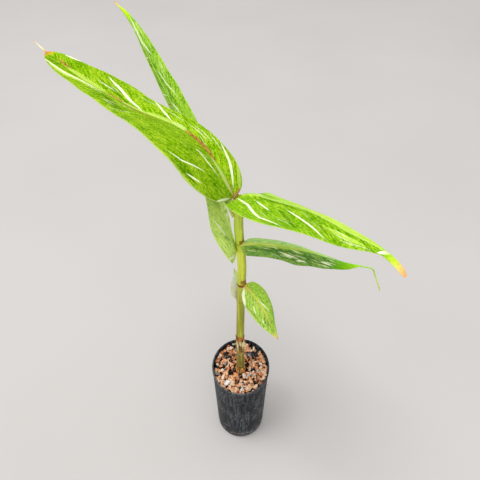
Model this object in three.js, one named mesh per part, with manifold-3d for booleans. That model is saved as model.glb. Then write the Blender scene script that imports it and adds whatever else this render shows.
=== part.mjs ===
// A variegated ginger lily, a young single-cane plant in a deep black nursery pot.
// Millimetres, +Z up. The origin is the centre of the pot's foot, on the surface that it stands on.
// +X is to the right and +Y is away as the plant is normally looked at.

import * as THREE from 'three';
import { mergeVertices } from 'three/addons/utils/BufferGeometryUtils.js';
import Module from 'manifold-3d';

const wasm = await Module();
wasm.setup();

// Pot: a deep tapered cup of soft plastic, so its rim is a little oval and dips at the front.
const POT_HEIGHT = 112.5;
const POT_RIM_RADIUS = 30;
const POT_FOOT_RADIUS = 26.2;
const POT_WALL = 0.9;
const POT_FLOOR = 1.4;
const POT_FOOT_CHAMFER = 4.5;
const POT_FOOT_BEND = [0.45, 0.25];
const POT_FLAT_RADIUS = 23;
const POT_LIP_HEIGHT = 2.4;
const POT_LIP_PROUD = 0.5;
const POT_LIP_SLOPE = 0.6;
const RIM_STRETCH = 0.055;
const RIM_DIP = 2.6;
const DRAIN_HOLES = 4;
const DRAIN_RADIUS = 3.2;
const DRAIN_RING_RADIUS = 16;
const DRAIN_SIDES = 16;
const POT_SIDES = 36;

// Growing mix: coconut chips, filled to just under the rim.
const MIX_LEVEL = 106.5;
const MIX_CROWN = 1.2;
const CHIP_COUNT = 40;
const CHIP_LENGTH = [6.5, 10.5];
const CHIP_WIDTH = [4.2, 6.4];
const CHIP_THICKNESS = [2.2, 3.6];
const CHIP_LIFT = [-0.6, 0.5];
const CHIP_TILT = 28;
const CHIP_MARGIN = 3.2;
const CHIPS_LEFT_OUT = 4;
const CHIP_STRAY = 0.4;
const MIX_LEVEL_SHARE = 0.6;
const GOLDEN_ANGLE = 2.39996;
const SEED = 20;

// Clearance between pieces that touch.
const GAP = 0.3;

// Cane: the false stem of rolled leaf sheaths. Height, sideways lean and radius.
const CANE_KEYS = [
  { z: 72, x: 0, radius: 4.6 },
  { z: 106, x: -0.4, radius: 4.2 },
  { z: 165, x: -0.6, radius: 3.9 },
  { z: 207, x: -0.2, radius: 3.65 },
  { z: 262, x: 0.8, radius: 3.75 },
  { z: 313, x: -1.8, radius: 3.6 },
  { z: 335.5, x: -1.8, radius: 2.9 },
];
const CANE_SIDES = 12;
const CANE_RING_STEP = 14;
const CANE_RING_LEAST = 0.5;
const NECK_DEPTH = 0.7;
const NECK_SLOPE = 0.8;
const COLLAR_WALL = 0.8;
const CLASP_ROOM = 0.8;
const COLLAR_HEIGHT = 5;
const COLLAR_SLANT = 0.8;
const COLLAR_TUCK = 0.3;
const COLLAR_TUCK_HEIGHT = 2;

// Rhizome: the creeping rootstock in the mix, from which the cane and the roots grow. Its line is given as
// shares of its length and drops, and a root's line as shares of the root's reach and depth.
const RHIZOME_LEVEL = 74;
const RHIZOME_LENGTH = 38;
const RHIZOME_RADIUS = 7.6;
const RHIZOME_HEADING = 140;
const RHIZOME_LINE = [[0, 3], [0.35, 1], [0.7, 0], [1, -4]];
const RHIZOME_BLUNT = 0.06;
const RHIZOME_RINGS = 4;
const RHIZOME_RING_DEPTH = 0.07;
const RHIZOME_STEPS = 12;
const RHIZOME_SIDES = 10;
const ROOT_COUNT = 5;
const ROOT_SPAN = [0.15, 0.85];
const ROOT_START_DROP = 2;
const ROOT_LINE = [[0, 0], [0.8, 0.12], [1.15, 0.5], [0.6, 1]];
const ROOT_UNLIKE = 0.04;
const ROOT_RADIUS = 1.3;
const ROOT_TAPER = 0.55;
const ROOT_REACH = 11;
const ROOT_DEPTH = 50;
const ROOT_TURN = 137.5;
const ROOT_STEPS = 7;
const ROOT_SIDES = 6;

// Scales: dry leaf sheaths with no blade, round the cane's foot, tucked in below and flared above.
const SCALES = [
  { name: 'papery_scale_upper', low: 139, high: 163, wall: 0.8, ragged: 4, teeth: 5 },
  { name: 'papery_scale_lower', low: 102, high: 111, wall: 0.9, ragged: 2.6, teeth: 4 },
];

const SCALE_TUCK = 0.2;
const SCALE_FLARE = 0.3;
const SCALE_ENDS = [2, 3];
const SCALE_TURN = 0.7;

// Blades: the thickness at the margin and at the rib, which thins out towards the tip.
const LEAF_EDGE = 0.6;
const LEAF_RIB = 1.5;
const LEAF_RIB_LEAST = 0.7;
const LEAF_RIB_SPAN = 0.9;
const LEAF_WAVE_LAG = 2.1;
const LEAF_THREAD_HALF = 0.5;
const LEAF_END_ROUND = 0.05;
const LEAF_LOBE_REACH = 0.3;
const STALK_HALF = 1.5;
const STALK_STEPS = 3;
const STALK_RINGS = 6;
const STALK_SIDES = 8;

// Leaves from the lowest to the topmost, in two ranks. Lengths are in millimetres and angles in degrees.
// node: height of the joint. from: side of the cane where the stalk leaves it, turning from +X towards +Y.
// heading, rise, roll and skew are given at even steps along the leaf. heading turns from +X towards +Y,
// rise is above the horizontal, roll lifts the leaf's left half, and skew widens that half and narrows the
// right one. fold lifts both halves from the rib, and arch bends them down again towards the margins.
// widest is the share of the length where the leaf is broadest, base and tip are how sharp its two ends
// are, and tail is the share that is a thread, whose half width at its end is end. lobe is how far the left
// and the right half reach back past the stalk. hook turns the tail down, over hookSpan of the length.
const LEAVES = [
  {
    name: 'leaf_1', node: 221, from: 116, length: 29, width: 17.5,
    widest: 0.38, base: 0.5, tip: 1, tail: 0.04, lobe: [5, 2], skew: [0, 0],
    heading: [116, 114, 113, 112], rise: [69, 71, 70, 70], roll: [2, 6, 8],
    fold: 24, arch: 5, hook: 0, hookSpan: [0, 1], end: 0.5, wave: 0.3, waves: 2, steps: 10,
  },
  {
    name: 'leaf_2', node: 244, from: -50, length: 54.5, width: 24,
    widest: 0.32, base: 0.4, tip: 0.6, tail: 0.03, lobe: [4, 1], skew: [0.03, 0.03],
    heading: [-49, -54, -56, -54], rise: [-1, -17, -29, -38, -43], roll: [30, -3, -30],
    fold: 9, arch: 28, hook: 0, hookSpan: [0, 1], end: 0.5, wave: 0.4, waves: 2.4, steps: 16,
  },
  {
    name: 'leaf_3', node: 284.5, from: 210, length: 95, width: 45,
    widest: 0.25, base: 0.4, tip: 1.05, tail: 0.03, lobe: [17, 4], skew: [0.22, 0.22],
    heading: [131, 121, 130, 132], rise: [64, 58, 42, 19, -3], roll: [51, 53, 56],
    fold: 9, arch: 19, hook: 0, hookSpan: [0, 1], end: 0.5, wave: 0.6, waves: 2.6, steps: 18,
  },
  {
    name: 'leaf_4', node: 292, from: -100, length: 126.3, width: 29.6,
    widest: 0.36, base: 0.03, tip: 1.03, tail: 0.2, lobe: [-2, 3], skew: [0.27, 0.11],
    heading: [-33, -28, -27.5, -29, -30], rise: [39, 21, 8.3, 3, 17, 20.6], roll: [30.5, -2, -25],
    fold: -5.5, arch: 52, hook: 85, hookSpan: [0.82, 0.86], end: 0.8, wave: 0.5, waves: 3.4, steps: 26,
  },
  {
    name: 'leaf_5', node: 320, from: 190, length: 229, width: 32,
    widest: 0.37, base: 0.5, tip: 0.94, tail: 0.03, lobe: [2, 2], skew: [0.04, 0.04],
    heading: [123, 121, 118, 125], rise: [26, 27, 26, 25, 26, 8], roll: [-8, -3, 4],
    fold: 61, arch: -1, hook: 0, hookSpan: [0, 1], end: 0.5, wave: 0.6, waves: 4, steps: 24,
  },
  {
    name: 'leaf_6', node: 331, from: -110, length: 144.6, width: 45.7,
    widest: 0.34, base: 0.42, tip: 1.57, tail: 0.03, lobe: [7.3, 3.3], skew: [0.26, -0.43, 0.08],
    heading: [-57.6, -38.5, -34.5, -33.9], rise: [87, 17.8, 10.9, -8.5, -10.7, -51.7],
    roll: [-4, -15, -23.5, -10, 1], fold: -18.9, arch: -7.1, hook: 0, hookSpan: [0, 1], end: 3.2,
    wave: 0.5, waves: 3.2, steps: 24,
  },
  {
    name: 'leaf_7', node: 337.5, from: 190, length: 193, width: 55.3,
    widest: 0.19, base: 0.65, tip: 0.5, tail: 0.07, lobe: [6.5, 10], skew: [0.3, 0.52, 0.01, 0.03],
    heading: [142.7, 150, 156, 143], rise: [68, 36.8, 6, 18, 22, 27.7], roll: [-1.5, 11.4, -1],
    fold: 20, arch: 9, hook: 0, hookSpan: [0, 1], end: 0.5, wave: 0.6, waves: 3, steps: 26,
  },
];
const LEAF_COLUMNS = 3;

const PLASTIC = new THREE.MeshStandardMaterial({ color: 0x24272a, roughness: 0.6, metalness: 0 });
const COIR = new THREE.MeshStandardMaterial({ color: 0xb9794c, roughness: 0.95, metalness: 0 });
const CANE_GREEN = new THREE.MeshStandardMaterial({ color: 0x9fb63c, roughness: 0.5, metalness: 0 });
const DRY_SHEATH = new THREE.MeshStandardMaterial({ color: 0x8a5a32, roughness: 0.9, metalness: 0 });
const LEAF_GREEN = new THREE.MeshStandardMaterial({ color: 0x6fae1c, roughness: 0.4, metalness: 0 });

// A repeatable source of random numbers from 0 to 1.
function seededRandom(seed) {
  let state = seed;
  return () => {
    state = (state * 1664525 + 1013904223) % 4294967296;
    return state / 4294967296;
  };
}

const radians = THREE.MathUtils.degToRad;

// Joins the shared vertices of a closed geometry and makes a solid of it.
function toSolid(geometry) {
  const bare = geometry.clone();
  bare.deleteAttribute('normal');
  bare.deleteAttribute('uv');
  const joined = mergeVertices(bare, 1e-4);
  const corners = joined.index.array;
  const kept = [];
  for (let i = 0; i < corners.length; i += 3) {
    const [a, b, c] = [corners[i], corners[i + 1], corners[i + 2]];
    if (a !== b && b !== c && c !== a) kept.push(a, b, c);
  }
  return new wasm.Manifold(new wasm.Mesh({
    numProp: 3,
    vertProperties: new Float32Array(joined.attributes.position.array),
    triVerts: new Uint32Array(kept),
  }));
}

// Turns a solid back into a geometry for a mesh.
function toGeometry(solid) {
  const mesh = solid.getMesh();
  const geometry = new THREE.BufferGeometry();
  geometry.setAttribute('position', new THREE.BufferAttribute(mesh.vertProperties, 3));
  geometry.setIndex(new THREE.BufferAttribute(mesh.triVerts, 1));
  geometry.computeVertexNormals();
  return geometry;
}

// A closed geometry from rings of points, anticlockwise seen from the far end, capped at both ends.
function ringsGeometry(rings) {
  const sides = rings[0].length;
  const positions = [];
  const index = [];
  rings.flat().forEach((p) => positions.push(p.x, p.y, p.z));
  for (let r = 0; r + 1 < rings.length; r += 1) {
    for (let s = 0; s < sides; s += 1) {
      const a = r * sides + s;
      const b = r * sides + ((s + 1) % sides);
      index.push(a, b, b + sides, a, b + sides, a + sides);
    }
  }
  const capWithFan = (ring, first, outward) => {
    const centre = ring.reduce((sum, p) => sum.add(p), new THREE.Vector3()).divideScalar(sides);
    const middle = positions.length / 3;
    positions.push(centre.x, centre.y, centre.z);
    for (let s = 0; s < sides; s += 1) {
      const a = first + s;
      const b = first + ((s + 1) % sides);
      if (outward) index.push(a, b, middle);
      else index.push(b, a, middle);
    }
  };
  capWithFan(rings[0], 0, false);
  capWithFan(rings.at(-1), (rings.length - 1) * sides, true);
  const geometry = new THREE.BufferGeometry();
  geometry.setAttribute('position', new THREE.Float32BufferAttribute(positions, 3));
  geometry.setIndex(index);
  return geometry;
}

// A round tube along a curve, whose radius is a function of the share of its length, with both ends
// carried on past the curve by a small reach.
function taperedTube(curve, radiusAt, steps, sides, reach = 0) {
  const frames = curve.computeFrenetFrames(steps, false);
  const rings = [];
  for (let i = 0; i <= steps; i += 1) {
    const past = reach * (Number(i === steps) - Number(i === 0));
    const centre = curve.getPointAt(i / steps).addScaledVector(frames.tangents[i], past);
    const radius = radiusAt(i / steps);
    const ring = [];
    for (let s = 0; s < sides; s += 1) {
      const angle = (2 * Math.PI * s) / sides;
      ring.push(centre.clone()
        .addScaledVector(frames.normals[i], radius * Math.cos(angle))
        .addScaledVector(frames.binormals[i], radius * Math.sin(angle)));
    }
    rings.push(ring);
  }
  return ringsGeometry(rings);
}

// A solid turned about the pot's axis from (radius, height) points.
function turned(points, sides) {
  const outline = points.map(([radius, height]) => new THREE.Vector2(radius, height));
  return new THREE.LatheGeometry(outline, sides).rotateX(Math.PI / 2);
}

// The soft pot's sag: towards the rim it is stretched front to back and leans down at the front.
function sag(geometry) {
  const position = geometry.attributes.position;
  for (let i = 0; i < position.count; i += 1) {
    const y = position.getY(i);
    const z = position.getZ(i);
    const share = Math.max(0, z / POT_HEIGHT) ** 2;
    position.setY(i, y * (1 + RIM_STRETCH * share));
    position.setZ(i, z + (RIM_DIP * share * y) / POT_RIM_RADIUS);
  }
  return geometry;
}

// The radius of the pot's outer wall at a height, below the lip.
function wallRadius(z) {
  return THREE.MathUtils.lerp(POT_FOOT_RADIUS, POT_RIM_RADIUS - POT_LIP_PROUD, z / POT_HEIGHT);
}

function potGeometry() {
  const lipFoot = POT_HEIGHT - POT_LIP_HEIGHT;
  const middle = POT_HEIGHT / 2;
  const outside = [
    [0, 0],
    [POT_FLAT_RADIUS, 0],
    [POT_FLAT_RADIUS + POT_FOOT_CHAMFER * POT_FOOT_BEND[0], POT_FOOT_CHAMFER * POT_FOOT_BEND[1]],
    [wallRadius(POT_FOOT_CHAMFER), POT_FOOT_CHAMFER],
    [wallRadius(middle), middle],
    [wallRadius(lipFoot - POT_LIP_SLOPE), lipFoot - POT_LIP_SLOPE],
    [POT_RIM_RADIUS, lipFoot],
    [POT_RIM_RADIUS, POT_HEIGHT],
  ];
  const inside = [
    [wallRadius(POT_HEIGHT) - POT_WALL, POT_HEIGHT],
    [wallRadius(middle) - POT_WALL, middle],
    [wallRadius(POT_FOOT_CHAMFER) - POT_WALL, POT_FOOT_CHAMFER],
    [POT_FLAT_RADIUS, POT_FLOOR],
    [0, POT_FLOOR],
  ];
  let pot = toSolid(sag(turned([...outside, ...inside], POT_SIDES)));
  for (let k = 0; k < DRAIN_HOLES; k += 1) {
    const angle = (2 * Math.PI * (k + 0.5)) / DRAIN_HOLES;
    const hole = new THREE.CylinderGeometry(DRAIN_RADIUS, DRAIN_RADIUS, 4 * POT_FLOOR, DRAIN_SIDES);
    hole.rotateX(Math.PI / 2);
    hole.translate(DRAIN_RING_RADIUS * Math.cos(angle), DRAIN_RING_RADIUS * Math.sin(angle), 0);
    pot = pot.subtract(toSolid(hole));
  }
  return toGeometry(pot);
}

// The cane's centre and radius at a height, from its keys.
function caneAt(z) {
  const last = CANE_KEYS.length - 1;
  let k = 0;
  while (k < last - 1 && z > CANE_KEYS[k + 1].z) k += 1;
  const [a, b] = [CANE_KEYS[k], CANE_KEYS[k + 1]];
  const share = THREE.MathUtils.clamp((z - a.z) / (b.z - a.z), 0, 1);
  const eased = share * share * (3 - 2 * share);
  return {
    centre: new THREE.Vector3(THREE.MathUtils.lerp(a.x, b.x, eased), 0, z),
    radius: THREE.MathUtils.lerp(a.radius, b.radius, share),
  };
}

// What clasps the cane, and where: each leaf's collar and each dry scale.
const CLASPS = [
  ...LEAVES.map(({ name, node }) => ({
    name,
    low: node - COLLAR_HEIGHT - COLLAR_SLANT,
    high: node + COLLAR_SLANT,
  })),
  ...SCALES.map(({ name, low, high, ragged }) => ({ name, low, high: high + ragged })),
];

function ringRound(z, radius, sides, liftAt = () => 0) {
  const { centre } = caneAt(z);
  const ring = [];
  for (let s = 0; s < sides; s += 1) {
    const angle = (2 * Math.PI * s) / sides;
    ring.push(new THREE.Vector3(
      centre.x + radius * Math.cos(angle),
      centre.y + radius * Math.sin(angle),
      z + liftAt(angle),
    ));
  }
  return ring;
}

// The cane, grown outwards by a clearance, with a neck of the given depth in each clasp.
function caneSolid(grow, neckDepth) {
  const low = CANE_KEYS[0].z;
  const high = CANE_KEYS.at(-1).z + grow;
  const heights = [low, high];
  for (let z = low + CANE_RING_STEP; z < high - CANE_RING_LEAST; z += CANE_RING_STEP) heights.push(z);
  CLASPS.forEach((clasp) => {
    heights.push(clasp.low - NECK_SLOPE, clasp.low, clasp.high, clasp.high + NECK_SLOPE);
  });
  const neckAt = (z) => (CLASPS.some((clasp) => z >= clasp.low && z <= clasp.high) ? neckDepth : 0);
  const rings = heights
    .filter((z) => z >= low && z <= high)
    .sort((a, b) => a - b)
    .filter((z, i, all) => i === 0 || z - all[i - 1] > CANE_RING_LEAST)
    .map((z) => ringRound(z, caneAt(z).radius - neckAt(z) + grow, CANE_SIDES));
  return toSolid(ringsGeometry(rings));
}

// The rhizome lies across the pot, swollen and ringed, with fleshy roots that turn down.
function rootstock(grow) {
  const lie = radians(RHIZOME_HEADING);
  const along = new THREE.Vector3(Math.cos(lie), Math.sin(lie), 0);
  const middle = new THREE.Vector3(0, 0, RHIZOME_LEVEL);
  const pointAt = (share, drop) => middle.clone()
    .addScaledVector(along, (share - 0.5) * RHIZOME_LENGTH)
    .add(new THREE.Vector3(0, 0, -drop));
  const body = new THREE.CatmullRomCurve3(RHIZOME_LINE.map(([share, drop]) => pointAt(share, drop)));
  const swelling = (share) => {
    const blunt = THREE.MathUtils.lerp(RHIZOME_BLUNT, 1 - RHIZOME_BLUNT, share);
    const ring = 1 + RHIZOME_RING_DEPTH * Math.cos(2 * Math.PI * RHIZOME_RINGS * share);
    return RHIZOME_RADIUS * Math.sqrt(Math.sin(Math.PI * blunt)) * ring + grow;
  };
  let solid = toSolid(taperedTube(body, swelling, RHIZOME_STEPS, RHIZOME_SIDES, grow));
  for (let k = 0; k < ROOT_COUNT; k += 1) {
    const start = pointAt(THREE.MathUtils.lerp(...ROOT_SPAN, k / (ROOT_COUNT - 1)), ROOT_START_DROP);
    const heading = radians(RHIZOME_HEADING + 90 + ROOT_TURN * k);
    const out = new THREE.Vector3(Math.cos(heading), Math.sin(heading), 0);
    const depth = ROOT_DEPTH * (1 + ROOT_UNLIKE * (k % 3));
    const root = new THREE.CatmullRomCurve3(ROOT_LINE.map(([reach, drop]) => start.clone()
      .addScaledVector(out, reach * ROOT_REACH)
      .add(new THREE.Vector3(0, 0, -drop * depth))));
    const rootRadius = (share) => ROOT_RADIUS * (1 - ROOT_TAPER * share) + grow;
    solid = solid.add(toSolid(taperedTube(root, rootRadius, ROOT_STEPS, ROOT_SIDES, grow)));
  }
  return solid;
}

// The growing mix, with coconut chips standing out of its top and a plain hole for the plant.
function mixGeometry(plantHole) {
  const inner = (z) => wallRadius(z) - POT_WALL - GAP;
  const sideTo = (top) => [
    [0, POT_FLOOR + GAP],
    [POT_FLAT_RADIUS - GAP * 2, POT_FLOOR + GAP],
    [inner(POT_FOOT_CHAMFER), POT_FOOT_CHAMFER + GAP * 2],
    [inner(POT_HEIGHT / 2), POT_HEIGHT / 2],
    [inner(top), top],
  ];
  const body = turned([
    ...sideTo(MIX_LEVEL - MIX_CROWN),
    [inner(MIX_LEVEL) * MIX_LEVEL_SHARE, MIX_LEVEL],
    [0, MIX_LEVEL],
  ], POT_SIDES);
  const room = turned([...sideTo(POT_HEIGHT + CHIP_MARGIN), [0, POT_HEIGHT + CHIP_MARGIN]], POT_SIDES);
  const random = seededRandom(SEED);
  const between = ([low, high]) => THREE.MathUtils.lerp(low, high, random());
  const spread = inner(MIX_LEVEL) - CHIP_MARGIN;
  let mix = toSolid(sag(body));
  for (let k = 0; k < CHIP_COUNT; k += 1) {
    const chip = new THREE.IcosahedronGeometry(0.5, 0);
    chip.scale(between(CHIP_LENGTH), between(CHIP_WIDTH), between(CHIP_THICKNESS));
    chip.rotateX(radians(CHIP_TILT) * (2 * random() - 1));
    chip.rotateY(radians(CHIP_TILT) * (2 * random() - 1));
    chip.rotateZ(2 * Math.PI * random());
    const share = Math.sqrt((k + CHIPS_LEFT_OUT) / (CHIP_COUNT + CHIPS_LEFT_OUT));
    const angle = GOLDEN_ANGLE * k + CHIP_STRAY * random();
    const edge = Math.max(0, share - MIX_LEVEL_SHARE) / (1 - MIX_LEVEL_SHARE);
    const level = MIX_LEVEL - MIX_CROWN * edge + between(CHIP_LIFT);
    chip.translate(spread * share * Math.cos(angle), spread * share * Math.sin(angle), level);
    mix = mix.add(toSolid(sag(chip)));
  }
  return toGeometry(mix.intersect(toSolid(sag(room))).subtract(plantHole));
}

// A value at a share of the leaf's length, from values at even steps, on a smooth curve through them.
function keyed(values, share) {
  const last = values.length - 1;
  const k = Math.min(Math.floor(share * last), last - 1);
  const slope = (i) => {
    const [a, b] = [Math.max(0, i - 1), Math.min(last, i + 1)];
    return (values[b] - values[a]) / (b - a);
  };
  const t = share * last - k;
  const [t2, t3] = [t * t, t * t * t];
  return (2 * t3 - 3 * t2 + 1) * values[k] + (t3 - 2 * t2 + t) * slope(k)
    + (3 * t2 - 2 * t3) * values[k + 1] + (t3 - t2) * slope(k + 1);
}

// The leaf's width at a share of its length, as a share of the full width.
function leafOutline(leaf, share) {
  const end = 1 - leaf.tail;
  if (share >= end) return 0;
  if (share < leaf.widest) return Math.sin((0.5 * Math.PI * share) / leaf.widest) ** leaf.base;
  return Math.cos((0.5 * Math.PI * (share - leaf.widest)) / (end - leaf.widest)) ** leaf.tip;
}

// The rib's frame at each step: the point, the way ahead, the side towards the leaf's left and the normal.
function leafFrames(leaf) {
  const base = caneAt(leaf.node);
  const from = radians(leaf.from);
  const out = new THREE.Vector3(Math.cos(from), Math.sin(from), 0);
  const seat = base.radius - NECK_DEPTH + GAP + COLLAR_WALL * 0.5;
  const point = base.centre.clone().addScaledVector(out, seat);
  const frames = [];
  const fine = 4;
  const steps = leaf.steps * fine;
  for (let i = 0; i <= steps; i += 1) {
    const share = i / steps;
    const heading = radians(keyed(leaf.heading, share));
    const hooked = THREE.MathUtils.smoothstep(share, ...leaf.hookSpan);
    const rise = radians(keyed(leaf.rise, share) - leaf.hook * hooked);
    const roll = radians(keyed(leaf.roll, share));
    const ahead = new THREE.Vector3(
      Math.cos(rise) * Math.cos(heading),
      Math.cos(rise) * Math.sin(heading),
      Math.sin(rise),
    );
    if (i % fine === 0) {
      const level = new THREE.Vector3(-Math.sin(heading), Math.cos(heading), 0);
      const above = ahead.clone().cross(level);
      frames.push({
        share,
        ahead,
        point: point.clone(),
        side: level.clone().multiplyScalar(Math.cos(roll)).addScaledVector(above, Math.sin(roll)),
        normal: above.clone().multiplyScalar(Math.cos(roll)).addScaledVector(level, -Math.sin(roll)),
      });
    }
    point.addScaledVector(ahead, leaf.length / steps);
  }
  return frames;
}

// One ring of the blade's section: over the top from the right margin to the left, then back underneath.
function leafRing(leaf, frame) {
  const outline = leafOutline(leaf, frame.share);
  const ended = Math.max(0, frame.share - 1 + LEAF_END_ROUND) / LEAF_END_ROUND;
  const least = THREE.MathUtils.lerp(STALK_HALF, leaf.end, frame.share) * Math.sqrt(1 - ended ** 2);
  const half = Math.max(0.5 * leaf.width * outline, least, LEAF_THREAD_HALF);
  const back = outline * Math.max(0, 1 - frame.share / LEAF_LOBE_REACH) ** 2;
  const [fold, arch] = [radians(leaf.fold), radians(leaf.arch)];
  const above = [];
  const below = [];
  for (let column = -LEAF_COLUMNS; column <= LEAF_COLUMNS; column += 1) {
    const across = Math.abs(column) / LEAF_COLUMNS;
    const hand = Math.sign(column);
    const reach = half * (1 + hand * keyed(leaf.skew, frame.share)) * across;
    const lobe = leaf.lobe[hand > 0 ? 0 : 1] * across * across * back;
    const turn = fold - arch * across;
    const ripple = leaf.wave * across * across * outline
      * Math.sin(2 * Math.PI * leaf.waves * frame.share + (hand > 0 ? 0 : LEAF_WAVE_LAG));
    const top = frame.point.clone()
      .addScaledVector(frame.side, hand * reach * Math.cos(turn))
      .addScaledVector(frame.normal, reach * Math.sin(turn) + ripple)
      .addScaledVector(frame.ahead, -lobe);
    const tilt = hand * (fold - 2 * arch * across);
    const rib = THREE.MathUtils.lerp(LEAF_RIB, LEAF_RIB_LEAST, Math.min(1, frame.share / LEAF_RIB_SPAN));
    above.push(top);
    below.push(top.clone()
      .addScaledVector(frame.normal, -Math.cos(tilt) * (column === 0 ? rib : LEAF_EDGE))
      .addScaledVector(frame.side, Math.sin(tilt) * (column === 0 ? 0 : LEAF_EDGE)));
  }
  return [...above, ...below.reverse()];
}

// The room that a clasp takes round the cane, with clearance.
function claspRoom(clasp) {
  return toSolid(ringsGeometry([clasp.low - GAP, clasp.high + GAP]
    .map((z) => ringRound(z, caneAt(z).radius + CLASP_ROOM, CANE_SIDES))));
}

// A leaf: the mouth of its sheath round the cane, slanted up towards the stalk, the stalk and the blade.
function leafGeometry(leaf, caneWithGap, caneWithClasps) {
  const frames = leafFrames(leaf);
  const blade = toSolid(leafSkin(frames.map((frame) => leafRing(leaf, frame)))).subtract(caneWithClasps);
  const slant = (angle) => COLLAR_SLANT * Math.cos(angle - radians(leaf.from));
  const wallAt = (z) => caneAt(z).radius - NECK_DEPTH + GAP + COLLAR_WALL;
  const [low, high] = [leaf.node - COLLAR_HEIGHT, leaf.node];
  const collar = toSolid(ringsGeometry([
    ringRound(low, wallAt(low) - COLLAR_TUCK, CANE_SIDES, slant),
    ringRound(low + COLLAR_TUCK_HEIGHT, wallAt(low), CANE_SIDES, slant),
    ringRound(high - COLLAR_TUCK_HEIGHT, wallAt(high), CANE_SIDES, slant),
    ringRound(high, wallAt(high) - COLLAR_TUCK, CANE_SIDES, slant),
  ]));
  const ribPoints = frames.slice(0, STALK_STEPS)
    .map((frame) => frame.point.clone().addScaledVector(frame.normal, -0.5 * LEAF_RIB));
  const stalk = toSolid(taperedTube(
    new THREE.CatmullRomCurve3(ribPoints),
    (share) => THREE.MathUtils.lerp(STALK_HALF, 0.5 * LEAF_RIB, share),
    STALK_RINGS,
    STALK_SIDES,
  ));
  const whole = collar.add(blade).add(stalk).subtract(caneWithGap);
  return toGeometry(CLASPS
    .filter((clasp) => clasp.name !== leaf.name)
    .reduce((rest, clasp) => rest.subtract(claspRoom(clasp)), whole));
}

// The blade's skin: strips between rings, split alike above and below, with a strip across each end.
function leafSkin(rings) {
  const across = 2 * LEAF_COLUMNS + 1;
  const around = 2 * across;
  const positions = [];
  const index = [];
  rings.flat().forEach((p) => positions.push(p.x, p.y, p.z));
  const upper = (r, c) => r * around + c;
  const lower = (r, c) => r * around + around - 1 - c;
  const quad = (a, b, c, d) => index.push(a, b, c, a, c, d);
  for (let r = 0; r + 1 < rings.length; r += 1) {
    for (let c = 0; c + 1 < across; c += 1) {
      quad(upper(r, c), upper(r + 1, c), upper(r + 1, c + 1), upper(r, c + 1));
      quad(lower(r + 1, c + 1), lower(r + 1, c), lower(r, c), lower(r, c + 1));
    }
    quad(lower(r, 0), lower(r + 1, 0), upper(r + 1, 0), upper(r, 0));
    quad(upper(r, across - 1), upper(r + 1, across - 1), lower(r + 1, across - 1), lower(r, across - 1));
  }
  const last = rings.length - 1;
  for (let c = 0; c + 1 < across; c += 1) {
    quad(upper(0, c), upper(0, c + 1), lower(0, c + 1), lower(0, c));
    quad(lower(last, c), lower(last, c + 1), upper(last, c + 1), upper(last, c));
  }
  const geometry = new THREE.BufferGeometry();
  geometry.setAttribute('position', new THREE.Float32BufferAttribute(positions, 3));
  geometry.setIndex(index);
  return geometry;
}

// A dry scale: a short tube round the cane with a torn upper edge.
function scaleGeometry(scale, caneWithGap) {
  const torn = (angle) => scale.ragged * Math.abs(Math.sin(0.5 * scale.teeth * angle + SCALE_TURN));
  const wallAt = (z) => caneAt(z).radius - NECK_DEPTH + GAP + scale.wall;
  const tube = toSolid(ringsGeometry([
    ringRound(scale.low, wallAt(scale.low) - SCALE_TUCK, CANE_SIDES),
    ringRound(scale.low + SCALE_ENDS[0], wallAt(scale.low), CANE_SIDES),
    ringRound(scale.high - SCALE_ENDS[1], wallAt(scale.high), CANE_SIDES),
    ringRound(scale.high, wallAt(scale.high) + SCALE_FLARE, CANE_SIDES, torn),
  ]));
  return toGeometry(tube.subtract(caneWithGap));
}

function named(name, geometry, material) {
  const mesh = new THREE.Mesh(geometry, material);
  mesh.name = name;
  return mesh;
}

const cane = caneSolid(0, NECK_DEPTH).add(rootstock(0));
const caneWithGap = caneSolid(GAP, NECK_DEPTH).add(rootstock(GAP));
const caneWithClasps = caneSolid(CLASP_ROOM, 0);
const plantHole = SCALES
  .map((scale) => toSolid(ringsGeometry([
    ringRound(scale.low - GAP, caneAt(scale.low).radius + scale.wall + GAP, CANE_SIDES),
    ringRound(scale.high + GAP, caneAt(scale.high).radius + scale.wall + GAP, CANE_SIDES),
  ])))
  .reduce((sum, solid) => sum.add(solid), caneWithGap);

const plant = new THREE.Group();
plant.add(named('pot', potGeometry(), PLASTIC));
plant.add(named('growing_mix', mixGeometry(plantHole), COIR));
plant.add(named('cane', toGeometry(cane), CANE_GREEN));
SCALES.forEach((scale) => {
  plant.add(named(scale.name, scaleGeometry(scale, caneWithGap), DRY_SHEATH));
});
LEAVES.forEach((leaf) => {
  plant.add(named(leaf.name, leafGeometry(leaf, caneWithGap, caneWithClasps), LEAF_GREEN));
});

export default plant;
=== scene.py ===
"""The looks of a young variegated ginger lily in a deep black nursery pot of coconut chips.

Lengths are in millimetres until a mesh is made, which is in metres.
The origin is the centre of the pot's foot, +Z is up and +Y is away from the camera.
"""

import math
import random

import bpy
import numpy as np
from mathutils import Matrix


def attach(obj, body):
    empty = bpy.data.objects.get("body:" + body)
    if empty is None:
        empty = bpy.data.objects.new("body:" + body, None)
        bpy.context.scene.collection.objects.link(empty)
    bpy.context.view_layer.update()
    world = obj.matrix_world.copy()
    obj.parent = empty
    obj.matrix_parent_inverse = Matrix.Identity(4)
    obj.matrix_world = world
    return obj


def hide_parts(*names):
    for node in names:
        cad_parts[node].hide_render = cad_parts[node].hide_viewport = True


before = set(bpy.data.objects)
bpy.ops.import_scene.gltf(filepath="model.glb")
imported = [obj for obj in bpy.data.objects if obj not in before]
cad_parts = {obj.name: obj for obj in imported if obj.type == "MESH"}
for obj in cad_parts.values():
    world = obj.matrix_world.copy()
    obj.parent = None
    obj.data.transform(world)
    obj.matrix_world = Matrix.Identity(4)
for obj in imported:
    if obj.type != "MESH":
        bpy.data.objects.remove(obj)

MM = 0.001

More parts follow.
